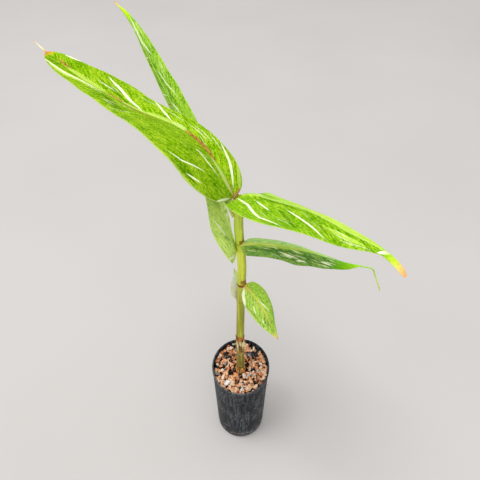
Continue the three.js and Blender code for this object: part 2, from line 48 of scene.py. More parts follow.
# Pot
POT_HEIGHT = 112.5
POT_RIM_RADIUS = 30.0
POT_FOOT_RADIUS = 26.2
POT_WALL = 0.9
POT_FLOOR = 1.4
POT_FLAT_RADIUS = 23.0
POT_FOOT_CHAMFER = 4.5
POT_LIP_HEIGHT = 2.4
POT_LIP_PROUD = 0.5
RIM_STRETCH = 0.055
RIM_DIP = 2.6
POT_SIDES = 160
POT_SPECULAR = 0.12
DRAIN_HOLES = 4
DRAIN_RADIUS = 3.2
DRAIN_RING_RADIUS = 16.0
DRAIN_SIDES = 32
# Painted highlight near the pot's foot: the height and width of a light band round the outer wall
FOOT_HIGHLIGHT_HEIGHT = 9.0
FOOT_HIGHLIGHT_WIDTH = 2.0
POT_TONES = ((0.43, (3, 5, 8)), (0.5, (26, 30, 35)), (0.57, (66, 71, 78)))
POT_DUST = (150, 150, 148)
# Painted highlight: the colour of the light band near the foot
POT_FOOT_HIGHLIGHT = (140, 132, 124)
# Painted highlight: the colour of the light line along the top of the rim
POT_RIM_HIGHLIGHT = (112, 116, 120)

# Growing mix
MIX_LEVEL = 106.5
MIX_CROWN = 1.2
CHIP_COUNT = 500
CHIP_GRID = 4
CHIP_LENGTH = (2.4, 6.2)
CHIP_WIDTH = (1.6, 3.6)
CHIP_THICKNESS = (1.2, 2.6)
FIBRE_COUNT = 60
CANE_ROOM = 5.3
CHIP_SPECULAR = 0.2
CHIPS_BACK_RISE = 4.6
MIX_GAP = 0.3
MIX_SEED = 41
BED_ROWS = 26
BED_SIDES = 96
DARK_CHIPS = 0.24
GREY_CHIPS = (0.12, 0.95)
CHIP_BROWNS = (
    (0.04, (20, 12, 12)),
    (0.2, (92, 44, 26)),
    (0.4, (214, 136, 88)),
    (0.6, (250, 184, 134)),
    (0.8, (255, 224, 188)),
    (0.96, (255, 244, 228)),
)
CHIP_GREYS = (
    (0.1, (14, 14, 17)),
    (0.5, (78, 90, 94)),
    (0.75, (176, 182, 182)),
    (0.95, (250, 250, 248)),
)
CHIP_FIBRE = (54, 28, 20)
FIBRE_STEPS = 8
# A loose fibre that hangs over the pot's rim
OVER_RIM = ((15.0, -15.5, 108.0), (19.5, -18.3, 111.6), (24.0, -20.0, 111.6), (28.0, -20.6, 110.4))
# Chips that stand out: the place, the size, the turn about the upright, the tone and how grey each is.
MARKED_CHIPS = (
    ((-14.2, -15.7, 108.2), (5.6, 3.2, 1.2), 0.9, 0.98, 1.0),
    ((0.3, -23.2, 107.6), (6.0, 1.6, 1.0), 1.2, 0.9, 1.0),
    ((9.5, 15.5, 106.9), (7.0, 3.4, 1.8), 1.0, 0.46, 1.0),
    ((15.5, 10.0, 106.2), (6.5, 3.6, 2.0), 2.2, 0.06, 1.0),
    ((6.0, 3.5, 106.6), (5.0, 3.4, 2.0), 0.3, 0.02, 1.0),
    ((-9.5, 8.0, 106.4), (6.0, 3.2, 2.0), 2.6, 0.06, 1.0),
    ((-15.0, 12.5, 106.4), (6.5, 3.0, 2.0), 0.7, 0.1, 1.0),
    ((-11.0, -3.5, 106.5), (5.0, 3.0, 1.8), 1.6, 0.08, 1.0),
    ((13.0, -1.0, 106.6), (4.6, 2.8, 1.8), 0.1, 0.1, 1.0),
    ((-18.5, -9.0, 106.7), (4.2, 2.8, 1.6), 1.1, 0.84, 0.0),
)

# Cane: height, sideways lean and radius, worked out from its edges in the photo
CANE_KEYS = (
    (72.0, 0.0, 4.6),
    (106.0, -0.4, 4.2),
    (165.0, -0.6, 3.9),
    (207.0, -0.2, 3.65),
    (262.0, 0.8, 3.75),
    (313.0, -1.8, 3.6),
    (335.5, -1.8, 2.9),
)
CANE_SIDES = 64
CANE_STEP = 1.0
NECK_DEPTH = 0.7
SHEATH_GAP = 0.3
SHEATH_WALL = 0.8
SHEATH_HEIGHT = 5.0
SHEATH_SLANT = 0.8
SHEATH_PROUD = 0.14
SHEATH_FLARE = 0.3
SHEATH_SIDES = 64
STALK_POINTS = 14
RIM_POINTS = 24
LIP_TONES = ((0.4, (66, 36, 10)), (0.6, (146, 92, 40)))
# The dry, curled rim of the topmost sheath, from the cane's left side up to the blade's foot
TOP_RIM = (
    (-4.8, -2.2, 335.4),
    (-5.0, -1.4, 337.4),
    (-3.1, 0.6, 339.3),
    (-1.7, 2.4, 340.8),
    (-0.6, 3.8, 342.0),
)
TOP_RIM_HALF = (0.8, 0.5)
CANE_SPECULAR = 0.2
# Dry brown patches over a joint: the height of its foot and its top, and the side of the cane it lies on
SCARS = ((247.5, 250.5, -48), (294.5, 297.0, -40))
CANE_COLOURS = (
    (104, (70, 56, 22)),
    (112, (116, 104, 42)),
    (138, (140, 130, 58)),
    (165, (134, 116, 44)),
    (172, (152, 152, 34)),
    (200, (160, 168, 40)),
    (236, (184, 192, 66)),
    (262, (216, 228, 70)),
    (290, (220, 234, 80)),
    (310, (214, 232, 88)),
    (330, (204, 224, 88)),
)
CANE_LIGHT_FIBRE = (232, 240, 100)
CANE_DARK_FIBRE = (108, 112, 20)
CANE_LIGHT_GRAIN = (206, 190, 120)
CANE_DARK_GRAIN = (84, 60, 18)
# Painted shade for the cane's right (+X) side
CANE_PAINTED_SHADE = (96, 92, 12)
CANE_BLUSH = (168, 96, 52)
CANE_SPECK = (120, 66, 30)
SCAR_COLOUR = (150, 98, 38)

# Each root's way out and down, as shares of its reach and its depth
ROOT_LINE = ((0, 0), (0.8, 0.12), (1.15, 0.5), (0.6, 1))
ROOT_DEPTH = 50
ROOT_COUNT = 5
ROOT_REACH = 11
ROOT_TURN = 137.5
RHIZOME_TURN = 140
RHIZOME_LEVEL = 74.0
RHIZOME_LENGTH = 38.0
RHIZOME_WIDTH = 7.6
ROOT_TONES = ((0.35, (150, 112, 74)), (0.65, (208, 176, 128)))

# Dry sheath scales round the cane's foot
SCALES = (
    {
        "name": "papery_scale_upper", "low": 139.0, "high": 165.0, "wall": 0.8,
        "ragged": 4.0, "teeth": 5, "turn": 2.36,
        "colours": ((78, 58, 20), (128, 106, 46), (190, 160, 90)),
        "edge": ((70, 32, 14), (190, 112, 48)),
    },
    {
        "name": "papery_scale_lower", "low": 102.0, "high": 111.0, "wall": 0.9,
        "ragged": 2.6, "teeth": 4, "turn": 0.2,
        "colours": ((110, 50, 16), (206, 126, 46), (250, 186, 96)),
        "edge": ((200, 112, 40), (252, 198, 124)),
    },
)

SCALE_SIDES = 120
SCALE_ROWS = 26
SCALE_STREAK = (252, 240, 194)

# Blades
BLADE_SKIN = 0.3
BLADE_RIB = (1.5, 0.7)
STALK_HALF = 1.5
THREAD_HALF = 0.5
END_ROUND = 0.05
LOBE_REACH = 0.3
MARK_SOFT = 1.2
SUB_STEPS = 4
ROWS_PER_STEP = 11
VEIN_SLANT = 1.7
VEIN_SPACING = 2.7
PLEAT_HEIGHT = 0.1
SWELL_HEIGHT = 0.3
MARK_KINDS = ("cream", "brown", "dark", "bright", "rib")
LEAF_SPECULAR = 0.01
LEAF_DEEP = (0, 60, 0)
LEAF_PALE = (255, 255, 110)
UNDER_SHARE = 0.2
TONE_PLACES = (0.43, 0.5, 0.57)
CREAM_TONES = ((0.35, (232, 244, 160)), (0.58, (255, 255, 236)))
BROWN_TONES = ((0.42, (142, 86, 50)), (0.58, (206, 146, 76)))
SPECK_PALE = (250, 255, 190)
RIB_PALE = (196, 216, 140)
UNDER_PALE = (196, 212, 156)

# Stage

# The camera's distance and height came from a fit by a scratch script to the edges of the pot's rim and
# foot in the photo, as did the pot's foot radius and height. The tilt was picked.
CAMERA_PLACE = (-0.75, -264.5, 545.5)
CAMERA_TILT = 46.5
CAMERA_LENS = 35
CAMERA_SENSOR = 36
CAMERA_CLIP = (0.01, 20)
# Each lamp's name, its place, where it points, its size and its power, in metres and watts
LAMPS = (
    ("softbox", (-0.95, -0.15, 3.6), (0, 0, 0.1), 1.4, 58),
    ("front_fill", (0.0, -2.6, 3.0), (0, 0, 0.2), 2.2, 20),
)
SKY_COLOUR = (1.0, 0.99, 0.98, 1.0)
SKY_STRENGTH = 0.78
FLOOR_CORNERS = ((-3, -2.4, 0), (3, -2.4, 0), (3, 5, 0), (-3, 5, 0))
FLOOR_TONES = ((0.3, (196, 193, 191)), (0.7, (200, 197, 195)))


def leaf(name, node, start, length, width, **shape):
    """One leaf's shape: the CAD part's values, and the columns of its fine mesh on each side of the rib."""
    made = {"name": name, "node": node, "from": start, "length": length, "width": width}
    made.update({"hook": 0.0, "hook_span": (0.0, 1.0), "end": 0.5})
    made.update(shape)
    return made


# These values came out of fits by scratch scripts to outline points that were picked by eye on the photo.
# They were then rounded and partly adjusted.
LEAVES = (
    leaf(
        "leaf_1", 221.0, 116, 29.0, 17.5,
        widest=0.38, base=0.5, tip=1.0, tail=0.04, lobe=(5, 2), skew=(0, 0),
        heading=(116, 114, 113, 112), rise=(69, 71, 70, 70), roll=(2, 6, 8),
        fold=24, arch=5, wave=0.3, waves=2, steps=10, columns=20,
    ),
    leaf(
        "leaf_2", 244.0, -50, 54.5, 24.0,
        widest=0.32, base=0.4, tip=0.6, tail=0.03, lobe=(4, 1), skew=(0.03, 0.03),
        heading=(-49, -54, -56, -54), rise=(-1, -17, -29, -38, -43), roll=(30, -3, -30),
        fold=9, arch=28, wave=0.4, waves=2.4, steps=16, columns=28,
    ),
    leaf(
        "leaf_3", 284.5, 210, 95.0, 45.0,
        widest=0.25, base=0.4, tip=1.05, tail=0.03, lobe=(17, 4), skew=(0.22, 0.22),
        heading=(131, 121, 130, 132), rise=(64, 58, 42, 19, -3), roll=(51, 53, 56),
        fold=9, arch=19, wave=0.6, waves=2.6, steps=18, columns=44,
    ),
    leaf(
        "leaf_4", 292.0, -100, 126.3, 29.6,
        widest=0.36, base=0.03, tip=1.03, tail=0.2, lobe=(-2, 3), skew=(0.27, 0.11),
        heading=(-33, -28, -27.5, -29, -30), rise=(39, 21, 8.3, 3, 17, 20.6), roll=(30.5, -2, -25),
        fold=-5.5, arch=52, hook=85, hook_span=(0.82, 0.86), end=0.8,
        wave=0.5, waves=3.4, steps=26, columns=34,
    ),
    leaf(
        "leaf_5", 320.0, 190, 229.0, 32.0,
        widest=0.37, base=0.5, tip=0.94, tail=0.03, lobe=(2, 2), skew=(0.04, 0.04),
        heading=(123, 121, 118, 125), rise=(26, 27, 26, 25, 26, 8), roll=(-8, -3, 4),
        fold=61, arch=-1, wave=0.6, waves=4, steps=24, columns=34,
    ),
    leaf(
        "leaf_6", 331.0, -110, 144.6, 45.7,
        widest=0.34, base=0.42, tip=1.57, tail=0.03, lobe=(7.3, 3.3), skew=(0.26, -0.43, 0.08),
        heading=(-57.6, -38.5, -34.5, -33.9), rise=(87, 17.8, 10.9, -8.5, -10.7, -51.7),
        roll=(-4, -15, -23.5, -10, 1), fold=-18.9, arch=-7.1, end=3.2,
        wave=0.5, waves=3.2, steps=24, columns=48,
    ),
    leaf(
        "leaf_7", 337.5, 190, 193.0, 55.3,
        widest=0.19, base=0.65, tip=0.5, tail=0.07, lobe=(6.5, 10), skew=(0.3, 0.52, 0.01, 0.03),
        heading=(142.7, 150, 156, 143), rise=(68, 36.8, 6, 18, 22, 27.7), roll=(-1.5, 11.4, -1),
        fold=20, arch=9, wave=0.6, waves=3, steps=26, columns=56,
    ),
)

# Each leaf's looks. greens are the common green of its left and its right half, and spread is how far
# the dark and the light green of each half lie from it. The greens were set by hand beside the photo,
# from a start that a scratch script had scaled to the photo's means. glow is the colour of its bright
# bands. flecks_and_highlights is how much of it is flecked with pale specks: partly the leaf's own pale
# marks and partly painted highlights that stand in for its gloss. zones are colours along it, each as a
# share, a colour and an opacity. A marking is a width and points of (share of the length, share across).
# Its points were picked by eye on the photo, turned into shares by a scratch script and rounded by hand.
# streaks is how many short cream streaks are scattered, the shares of the length between which they lie,
# and the halves that they may lie on.
LOOKS = {
    "leaf_1": {
        "greens": ((255, 255, 250), (240, 255, 206)), "spread": (0.15, 0.25),
        "glow": (236, 246, 210), "flecks_and_highlights": 0.55, "stalk": (176, 196, 96), "lip": 0.2,
        "zones": ((0.8, (190, 214, 120), 0.0), (0.95, (196, 206, 104), 1.0), (1.0, (200, 180, 90), 1.0)),
        "cream": ((2.5, (0.45, 0.6), (0.1, 1.0)), (1.4, (0.7, -0.3), (0.1, -0.4))),
        "dark": ((1.2, (0.2, -0.8), (0.5, -0.85)),),
        "rib": ((0.9, (0.0, 0.0), (0.9, 0.0)),),
        "streaks": (6, 0.2, 0.8, (-1, 1)),
    },
    "leaf_2": {
        "greens": ((172, 218, 80), (172, 212, 90)), "spread": (0.35, 0.4),
        "glow": (206, 228, 80), "flecks_and_highlights": 0.3, "stalk": (238, 176, 88), "lip": 1.0,
        "rib_colour": (232, 206, 110),
        "zones": (
            (0.0, (240, 180, 90), 1.0), (0.05, (222, 206, 100), 0.0), (0.84, (206, 220, 96), 0.0),
            (0.93, (226, 220, 110), 1.0), (1.0, (250, 160, 60), 1.0),
        ),
        "cream": (
            (4.5, (0.0, -0.88), (0.12, -0.9), (0.28, -0.98)),
            (0.9, (0.32, 0.05), (0.58, 0.4)),
            (0.8, (0.36, -0.5), (0.52, -0.7)),
        ),
        "dark": (
            (1.2, (0.3, -0.9), (0.65, -0.85)),
            (1.6, (0.5, 0.9), (0.7, 0.8)),
            (1.4, (0.6, -0.3), (0.7, -0.55)),
        ),
        "bright": ((2.0, (0.05, 0.0), (0.55, 0.05)),),
        "rib": ((1.4, (0.0, 0.0), (0.2, 0.0)), (0.8, (0.2, 0.0), (0.55, 0.0), (0.9, -0.3))),
        "streaks": (5, 0.3, 0.85, (-1, 1)),
    },
    "leaf_3": {
        "greens": ((226, 255, 138), (216, 255, 122)), "spread": (0.35, 0.4),
        "glow": (206, 228, 120), "flecks_and_highlights": 0.55, "stalk": (206, 216, 100), "lip": 0.15,
        "zones": (
            (0.0, (206, 214, 80), 0.9), (0.09, (190, 220, 90), 0.0),
            (0.88, (170, 214, 80), 0.0), (0.97, (196, 210, 90), 1.0),
        ),
        "cream": (
            (1.8, (0.2, 0.55), (0.35, 0.85)),
            (1.2, (0.0, 0.95), (0.1, 1.0)),
            (1.8, (0.38, -0.3), (0.39, -0.75)),
            (1.2, (0.31, 0.0), (0.31, -0.6)),
        ),
        "dark": (
            (2.0, (0.24, -0.2), (0.27, -0.7)),
            (1.8, (0.345, 0.1), (0.345, -0.7)),
            (1.4, (0.14, 0.4), (0.2, 0.6)),
        ),
        "bright": ((5.0, (0.1, 0.12), (0.34, 0.05)),),
        "rib": ((1.6, (0.02, 0.0), (0.9, 0.0)),),
        "streaks": (6, 0.1, 0.4, (-1, 1)),
    },
    "leaf_4": {
        "greens": ((212, 255, 164), (114, 168, 80)), "spread": (0.3, 0.45),
        "glow": (206, 234, 100), "flecks_and_highlights": 0.5, "stalk": (240, 232, 120), "lip": 0.4,
        "rib_colour": (236, 236, 140),
        "zones": (
            (0.0, (242, 236, 130), 1.0), (0.05, (226, 238, 120), 0.0), (0.6, (120, 184, 20), 0.0),
            (0.66, (116, 190, 6), 0.8), (0.71, (140, 208, 10), 0.9), (0.77, (180, 238, 60), 1.0),
            (0.86, (160, 216, 50), 1.0), (0.93, (216, 240, 90), 1.0), (1.0, (228, 206, 110), 1.0),
        ),
        "cream": (
            (0.8, (0.3, -0.4), (0.42, -0.58)),
            (0.9, (0.42, -0.72), (0.48, -0.7)),
            (0.9, (0.56, -0.46), (0.64, -0.72)),
            (2.0, (0.08, 0.55), (0.19, 0.52)),
        ),
        "dark": ((3.6, (0.1, -0.34), (0.4, -0.45), (0.65, -0.7)), (1.6, (0.3, -0.75), (0.56, -0.82))),
        "bright": ((3.6, (0.0, 0.05), (0.2, -0.04), (0.34, -0.04), (0.6, 0.2)),),
        "rib": ((2.4, (0.0, 0.0), (0.16, 0.0)), (0.9, (0.16, 0.0), (0.3, -0.05))),
        "streaks": (16, 0.06, 0.6, (-1,)),
    },
    "leaf_5": {
        "greens": ((166, 206, 90), (164, 218, 60)), "spread": (0.5, 0.5),
        "glow": (176, 230, 60), "flecks_and_highlights": 0.7, "stalk": (240, 226, 130), "lip": 0.1,
        "zones": (
            (0.0, (255, 236, 150), 1.0), (0.03, (236, 246, 160), 0.9), (0.2, (214, 240, 120), 0.3),
            (0.3, (190, 220, 90), 0.0), (0.85, (186, 232, 50), 0.0), (0.89, (204, 242, 26), 1.0),
            (0.95, (226, 246, 50), 1.0), (0.975, (250, 214, 90), 1.0), (1.0, (240, 150, 96), 1.0),
        ),
        "cream": (
            (2.0, (0.68, -0.4), (0.75, -0.12), (0.82, -0.2), (0.88, -0.72)),
            (1.4, (0.41, -0.25), (0.47, -0.05)),
            (1.2, (0.46, -0.58), (0.62, -0.15)),
            (1.4, (0.47, 1.0), (0.5, 0.1)),
            (1.2, (0.64, 1.0), (0.68, 0.1)),
            (1.8, (0.79, 0.95), (0.81, 0.3)),
            (1.8, (0.0, 0.7), (0.05, 0.95), (0.15, 0.97)),
        ),
        "brown": ((1.2, (0.43, 0.9), (0.46, 0.1)),),
        "dark": (
            (1.8, (0.42, -0.4), (0.5, -0.22), (0.7, -0.12)),
            (2.2, (0.515, 1.0), (0.54, 0.1)),
            (3.0, (0.6, 1.0), (0.64, 0.1)),
            (3.4, (0.715, 1.0), (0.74, 0.1)),
        ),
        "rib": ((1.0, (0.02, 0.0), (0.9, 0.0)),),
        "streaks": (18, 0.38, 0.8, (-1, 1)),
    },
    "leaf_6": {
        "greens": ((182, 230, 84), (128, 188, 8)), "spread": (0.2, 0.45),
        "glow": (206, 240, 90), "flecks_and_highlights": 0.5, "stalk": (150, 170, 50), "lip": 0.25,
        "zones": (
            (0.0, (140, 130, 50), 1.0), (0.1, (150, 180, 50), 0.7), (0.15, (150, 196, 50), 0.0),
            (0.86, (186, 236, 50), 0.0), (0.89, (196, 240, 50), 0.9), (0.925, (222, 242, 70), 1.0),
            (0.955, (250, 220, 130), 1.0), (1.0, (250, 176, 116), 1.0),
        ),
        "cream": (
            (1.7, (0.12, -0.37), (0.25, -0.5), (0.37, -0.78), (0.49, -0.93)),
            (1.2, (0.25, -0.22), (0.37, -0.42)),
            (1.6, (0.42, -0.22), (0.53, -0.46), (0.65, -0.9)),
            (2.4, (0.885, 1.0), (0.865, 0.0), (0.84, -0.8)),
            (1.4, (0.17, 0.3), (0.24, 0.2)),
        ),
        "dark": (
            (1.6, (0.24, -0.05), (0.5, -0.1)),
            (2.6, (0.4, -0.3), (0.52, -0.8)),
            (1.8, (0.58, -0.35), (0.64, -0.6)),
            (5.0, (0.08, 0.7), (0.3, 0.6)),
        ),
        "bright": (
            (2.6, (0.13, -0.15), (0.25, 0.0)),
            (3.0, (0.6, -0.3), (0.78, -0.5)),
            (9.0, (0.38, 0.5), (0.84, 0.5)),
        ),
        "rib": ((1.0, (0.2, 0.0), (0.8, 0.0)),),
        "streaks": (10, 0.2, 0.75, (-1,)),
    },
    "leaf_7": {
        "greens": ((130, 182, 0), (136, 190, 0)), "spread": (0.45, 0.45),
        "glow": (206, 232, 100), "flecks_and_highlights": 0.5, "stalk": (184, 126, 84), "lip": 0.7,
        "zones": (
            (0.0, (168, 130, 50), 0.9), (0.02, (190, 200, 70), 0.0), (0.905, (200, 226, 40), 0.0),
            (0.92, (232, 190, 60), 0.8), (0.928, (216, 124, 44), 1.0), (0.938, (240, 190, 100), 1.0),
            (0.955, (250, 244, 206), 1.0), (1.0, (232, 200, 176), 1.0),
        ),
        "cream": (
            (2.0, (0.035, -0.18), (0.12, -0.58), (0.2, -0.97)),
            (1.6, (0.375, -0.17), (0.44, -0.6), (0.5, -0.98)),
            (2.4, (0.5, -0.05), (0.6, -0.4), (0.7, -0.84)),
            (2.2, (0.67, 0.08), (0.8, 0.56), (0.9, 0.98)),
            (1.5, (0.015, 0.72), (0.055, 0.97)),
            (1.1, (0.15, 0.5), (0.22, 0.8), (0.27, 0.88)),
            (1.1, (0.13, 0.79), (0.185, 0.9)),
            (1.0, (0.1, 0.27), (0.24, 0.28)),
            (1.6, (0.82, -1.0), (0.88, -0.9)),
        ),
        "brown": (
            (1.8, (0.66, -0.03), (0.6, -0.04), (0.45, 0.3), (0.39, 0.42)),
            (3.2, (0.15, 0.0), (0.31, -0.05)),
            (1.8, (0.82, -0.12), (0.88, -0.2)),
        ),
        "dark": (
            (6.0, (0.5, 0.7), (0.64, 0.4)),
            (2.4, (0.56, -0.1), (0.72, -0.5)),
            (1.8, (0.14, 0.9), (0.24, 0.97)),
        ),
        "bright": (
            (2.4, (0.02, -0.95), (0.12, -1.0)),
            (6.0, (0.66, 0.1), (0.8, 0.6), (0.87, 0.86)),
            (3.4, (0.66, -0.06), (0.84, -0.08)),
            (3.0, (0.32, -0.12), (0.48, -0.08)),
        ),
        "rib": (
            (4.6, (0.0, 0.06), (0.06, 0.12), (0.17, 0.06)),
            (3.4, (0.3, -0.06), (0.37, -0.12)),
            (1.6, (0.37, 0.0), (0.68, 0.0)),
        ),
        "streaks": (18, 0.1, 0.7, (-1, 1)),
    },
}


def linear(colour, opacity=1.0):
    """An 8-bit display colour as the linear colour that a shader takes."""
    parts = []
    for value in colour:
        c = value / 255
        parts.append(c / 12.92 if c <= 0.04045 else ((c + 0.055) / 1.055) ** 2.4)
    return (*parts, opacity)


def blended(first, second, share):
    """A colour on the way from one colour to another."""
    return tuple(a + share * (b - a) for a, b in zip(first, second))


def shades(green, spread):
    """The dark, the common and the light green of one half of a leaf."""
    return blended(green, LEAF_DEEP, spread), green, blended(green, LEAF_PALE, spread)


def smoothstep(values, low, high):
    """0 at low and 1 at high, with a smooth step between. low may be the greater."""
    t = np.clip((values - low) / (high - low), 0, 1)
    return t * t * (3 - 2 * t)


class Graph:
    """A material and short ways to add nodes to it. An input is a number or a socket.

    A colour is a socket or an 8-bit display colour.
    """

    def __init__(self, name, specular=0.5):
        self.material = bpy.data.materials.new(name)
        self.material.use_nodes = True
        self.tree = self.material.node_tree
        self.shader = self.tree.nodes["Principled BSDF"]
        self.shader.inputs["Specular IOR Level"].default_value = specular

    def node(self, kind, inputs=(), **settings):
        made = self.tree.nodes.new(kind)
        for key, value in settings.items():
            setattr(made, key, value)
        for key, value in dict(inputs).items():
            self.put(made.inputs[key], value)
        return made

    def put(self, socket, value):
        if isinstance(value, bpy.types.NodeSocket):
            self.tree.links.new(value, socket)
        else:
            socket.default_value = value

    def attribute(self, name):
        return self.node("ShaderNodeAttribute", attribute_name=name).outputs["Fac"]

    def place(self):
        return self.node("ShaderNodeTexCoord").outputs["Object"]

    def stretched(self, vector, scale):
        mapping = self.node("ShaderNodeMapping", {"Vector": vector, "Scale": scale})
        return mapping.outputs["Vector"]

    def joined(self, x, y, z=0.0):
        return self.node("ShaderNodeCombineXYZ", {"X": x, "Y": y, "Z": z}).outputs["Vector"]

    def maths(self, operation, first, second=0.0):
        return self.node("ShaderNodeMath", {0: first, 1: second}, operation=operation).outputs[0]

    def plus(self, first, second):
        return self.maths("ADD", first, second)

    def minus(self, first, second):
        return self.maths("SUBTRACT", first, second)

    def times(self, first, second):
        return self.maths("MULTIPLY", first, second)

    def wander(self, noise, size):
        """A noise as a number that strays to both sides of 0."""
        return self.times(self.minus(noise, 0.5), size)

    def noise(self, vector, stretch, detail, roughness):
        vector = self.stretched(vector, stretch)
        inputs = {"Vector": vector, "Scale": 1.0, "Detail": detail, "Roughness": roughness}
        return self.node("ShaderNodeTexNoise", inputs).outputs["Fac"]

    def between(self, value, low, high):
        """0 below low and 1 above high, with a smooth step between."""
        inputs = {"Value": value, "From Min": low, "From Max": high}
        made = self.node("ShaderNodeMapRange", inputs, interpolation_type="SMOOTHSTEP")
        return made.outputs["Result"]

    def ramp(self, value, stops):
        """Colours at places from 0 to 1. A stop may have an opacity after its colour."""
        made = self.node("ShaderNodeValToRGB", {"Fac": value})
        elements = made.color_ramp.elements
        while len(elements) < len(stops):
            elements.new(0.5)
        for element, (place, colour, *opacity) in zip(elements, stops):
            element.position = place
            element.color = linear(colour, *opacity)
        return made.outputs["Color"], made.outputs["Alpha"]

    def mix(self, share, first, second):
        made = self.node("ShaderNodeMix", {"Factor": share}, data_type="RGBA")
        for socket, paint in zip((made.inputs[6], made.inputs[7]), (first, second)):
            self.put(socket, paint if isinstance(paint, bpy.types.NodeSocket) else linear(paint))
        return made.outputs[2]

    def over(self, colour, paint, *shares):
        """Paint over a colour, by the product of the shares."""
        share, *others = shares
        for other in others:
            share = self.times(share, other)
        return self.mix(share, colour, paint)

    def bump(self, height, strength, distance):
        inputs = {"Height": height, "Strength": strength, "Distance": distance * MM}
        self.put(self.shader.inputs["Normal"], self.node("ShaderNodeBump", inputs).outputs["Normal"])

    def colour(self, value):
        self.put(self.shader.inputs["Base Color"], value)

    def roughness(self, noise, rise, least, more=None):
        """A roughness that rises with a noise from its least value, and by more where that is given."""
        value = self.plus(self.times(noise, rise), least)
        if more is not None:
            value = self.plus(value, more)
        self.put(self.shader.inputs["Roughness"], value)


class Shape:
    """Points, faces and point values of a piece that is put together from parts."""

    def __init__(self):
        self.points = []
        self.faces = []
        self.values = {}
        self.count = 0

    def add(self, points, faces, **values):
        points = np.asarray(points, dtype=float)
        self.points.append(points)
        self.faces += [tuple(corner + self.count for corner in face) for face in faces]
        self.count += len(points)
        for key, value in values.items():
            self.values.setdefault(key, []).append(np.broadcast_to(value, len(points)))


def new_object(name, data):
    """An object that is linked to the scene."""
    made = bpy.data.objects.new(name, data)
    bpy.context.scene.collection.objects.link(made)
    return made


def make_piece(name, shape, material, nodes):
    """Turns a shape into an object that rides on the root and stands for CAD nodes."""
    mesh = bpy.data.meshes.new(name)
    points = np.concatenate(shape.points) * MM
    mesh.from_pydata(points.tolist(), [], shape.faces)
    mesh.polygons.foreach_set("use_smooth", [True] * len(mesh.polygons))
    for key, parts in shape.values.items():
        data = mesh.attributes.new(key, "FLOAT", "POINT").data
        data.foreach_set("value", np.concatenate(parts).astype(np.float32))
    mesh.materials.append(material)
    mesh.update()
    piece = new_object(name, mesh)
    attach(piece, "root")
    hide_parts(*nodes)
    return piece


def ring_faces(rows, columns):
    """Quads between rings of points, each anticlockwise from the far end."""
    faces = []
    for r in range(rows - 1):
        for c in range(columns):
            a = r * columns + c
            b = r * columns + (c + 1) % columns
            faces.append((a, b, b + columns, a + columns))
    return faces


def looped_faces(rows, columns):
    """Quads between rings of points, and from the last ring back to the first."""
    faces = ring_faces(rows, columns)
    last = (rows - 1) * columns
    for c in range(columns):
        after = (c + 1) % columns
        faces.append((last + c, last + after, after, c))
    return faces


def ring_solid(rings):
    """The points and faces of a closed solid from rings, with a flat cap at each end."""
    rings = np.asarray(rings, dtype=float)
    rows, columns = rings.shape[:2]
    faces = ring_faces(rows, columns)
    faces.append(tuple(range(columns - 1, -1, -1)))
    faces.append(tuple(range((rows - 1) * columns, rows * columns)))
    return rings.reshape(-1, 3), faces


def tube(path, radii, sides):
    """A closed round tube along points."""
    path = np.asarray(path, dtype=float)
    tangents = np.gradient(path, axis=0)
    tangents /= np.linalg.norm(tangents, axis=1, keepdims=True)
    side = np.cross(tangents[0], (0.0, 0.0, 1.0))
    if np.linalg.norm(side) < 0.1:
        side = np.cross(tangents[0], (1.0, 0.0, 0.0))
    angles = np.linspace(0, 2 * math.pi, sides, endpoint=False)
    rings = []
    for point, tangent, radius in zip(path, tangents, np.broadcast_to(radii, len(path))):
        side = side - tangent * np.dot(side, tangent)
        side = side / np.linalg.norm(side)
        up = np.cross(tangent, side)
        ring = np.outer(np.cos(angles), side) + np.outer(np.sin(angles), up)
        rings.append(point + radius * ring)
    return ring_solid(rings)


def sag(points):
    """The soft pot's sag: it is stretched front to back towards the rim, and leans down in front."""
    points = np.array(points, dtype=float)
    share = np.maximum(0, points[:, 2] / POT_HEIGHT) ** 2
    y = points[:, 1].copy()
    points[:, 1] = y * (1 + RIM_STRETCH * share)
    points[:, 2] += RIM_DIP * share * y / POT_RIM_RADIUS
    return points


def turned_ring(radius, angles, z):
    """A ring of points about the pot's axis. The height may differ from point to point."""
    x, y = radius * np.cos(angles), radius * np.sin(angles)
    return np.stack([x, y, np.broadcast_to(z, angles.shape)], axis=1)


def wall_radius(z):
    """The radius of the pot's outer wall at a height, below the lip."""
    top = POT_RIM_RADIUS - POT_LIP_PROUD
    return POT_FOOT_RADIUS + (top - POT_FOOT_RADIUS) * z / POT_HEIGHT


def mix_radius(z):
    """The radius at a height that the growing mix may fill."""
    return wall_radius(z) - POT_WALL - MIX_GAP


def cane_at(z):
    """The cane's sideways lean and radius at a height."""
    k = 0
    while k < len(CANE_KEYS) - 2 and z > CANE_KEYS[k + 1][0]:
        k += 1
    (low, x0, r0), (high, x1, r1) = CANE_KEYS[k], CANE_KEYS[k + 1]
    t = min(max((z - low) / (high - low), 0), 1)
    return x0 + (x1 - x0) * t * t * (3 - 2 * t), r0 + (r1 - r0) * t


def ring_round(z, radius, sides, lift=0.0):
    """A ring of points round the cane. The radius and the lift may differ from point to point."""
    lean, _ = cane_at(z)
    angles = np.linspace(0, 2 * math.pi, sides, endpoint=False)
    x = lean + radius * np.cos(angles)
    y = radius * np.sin(angles)
    return np.stack([x, y, z + np.broadcast_to(lift, sides)], axis=1)


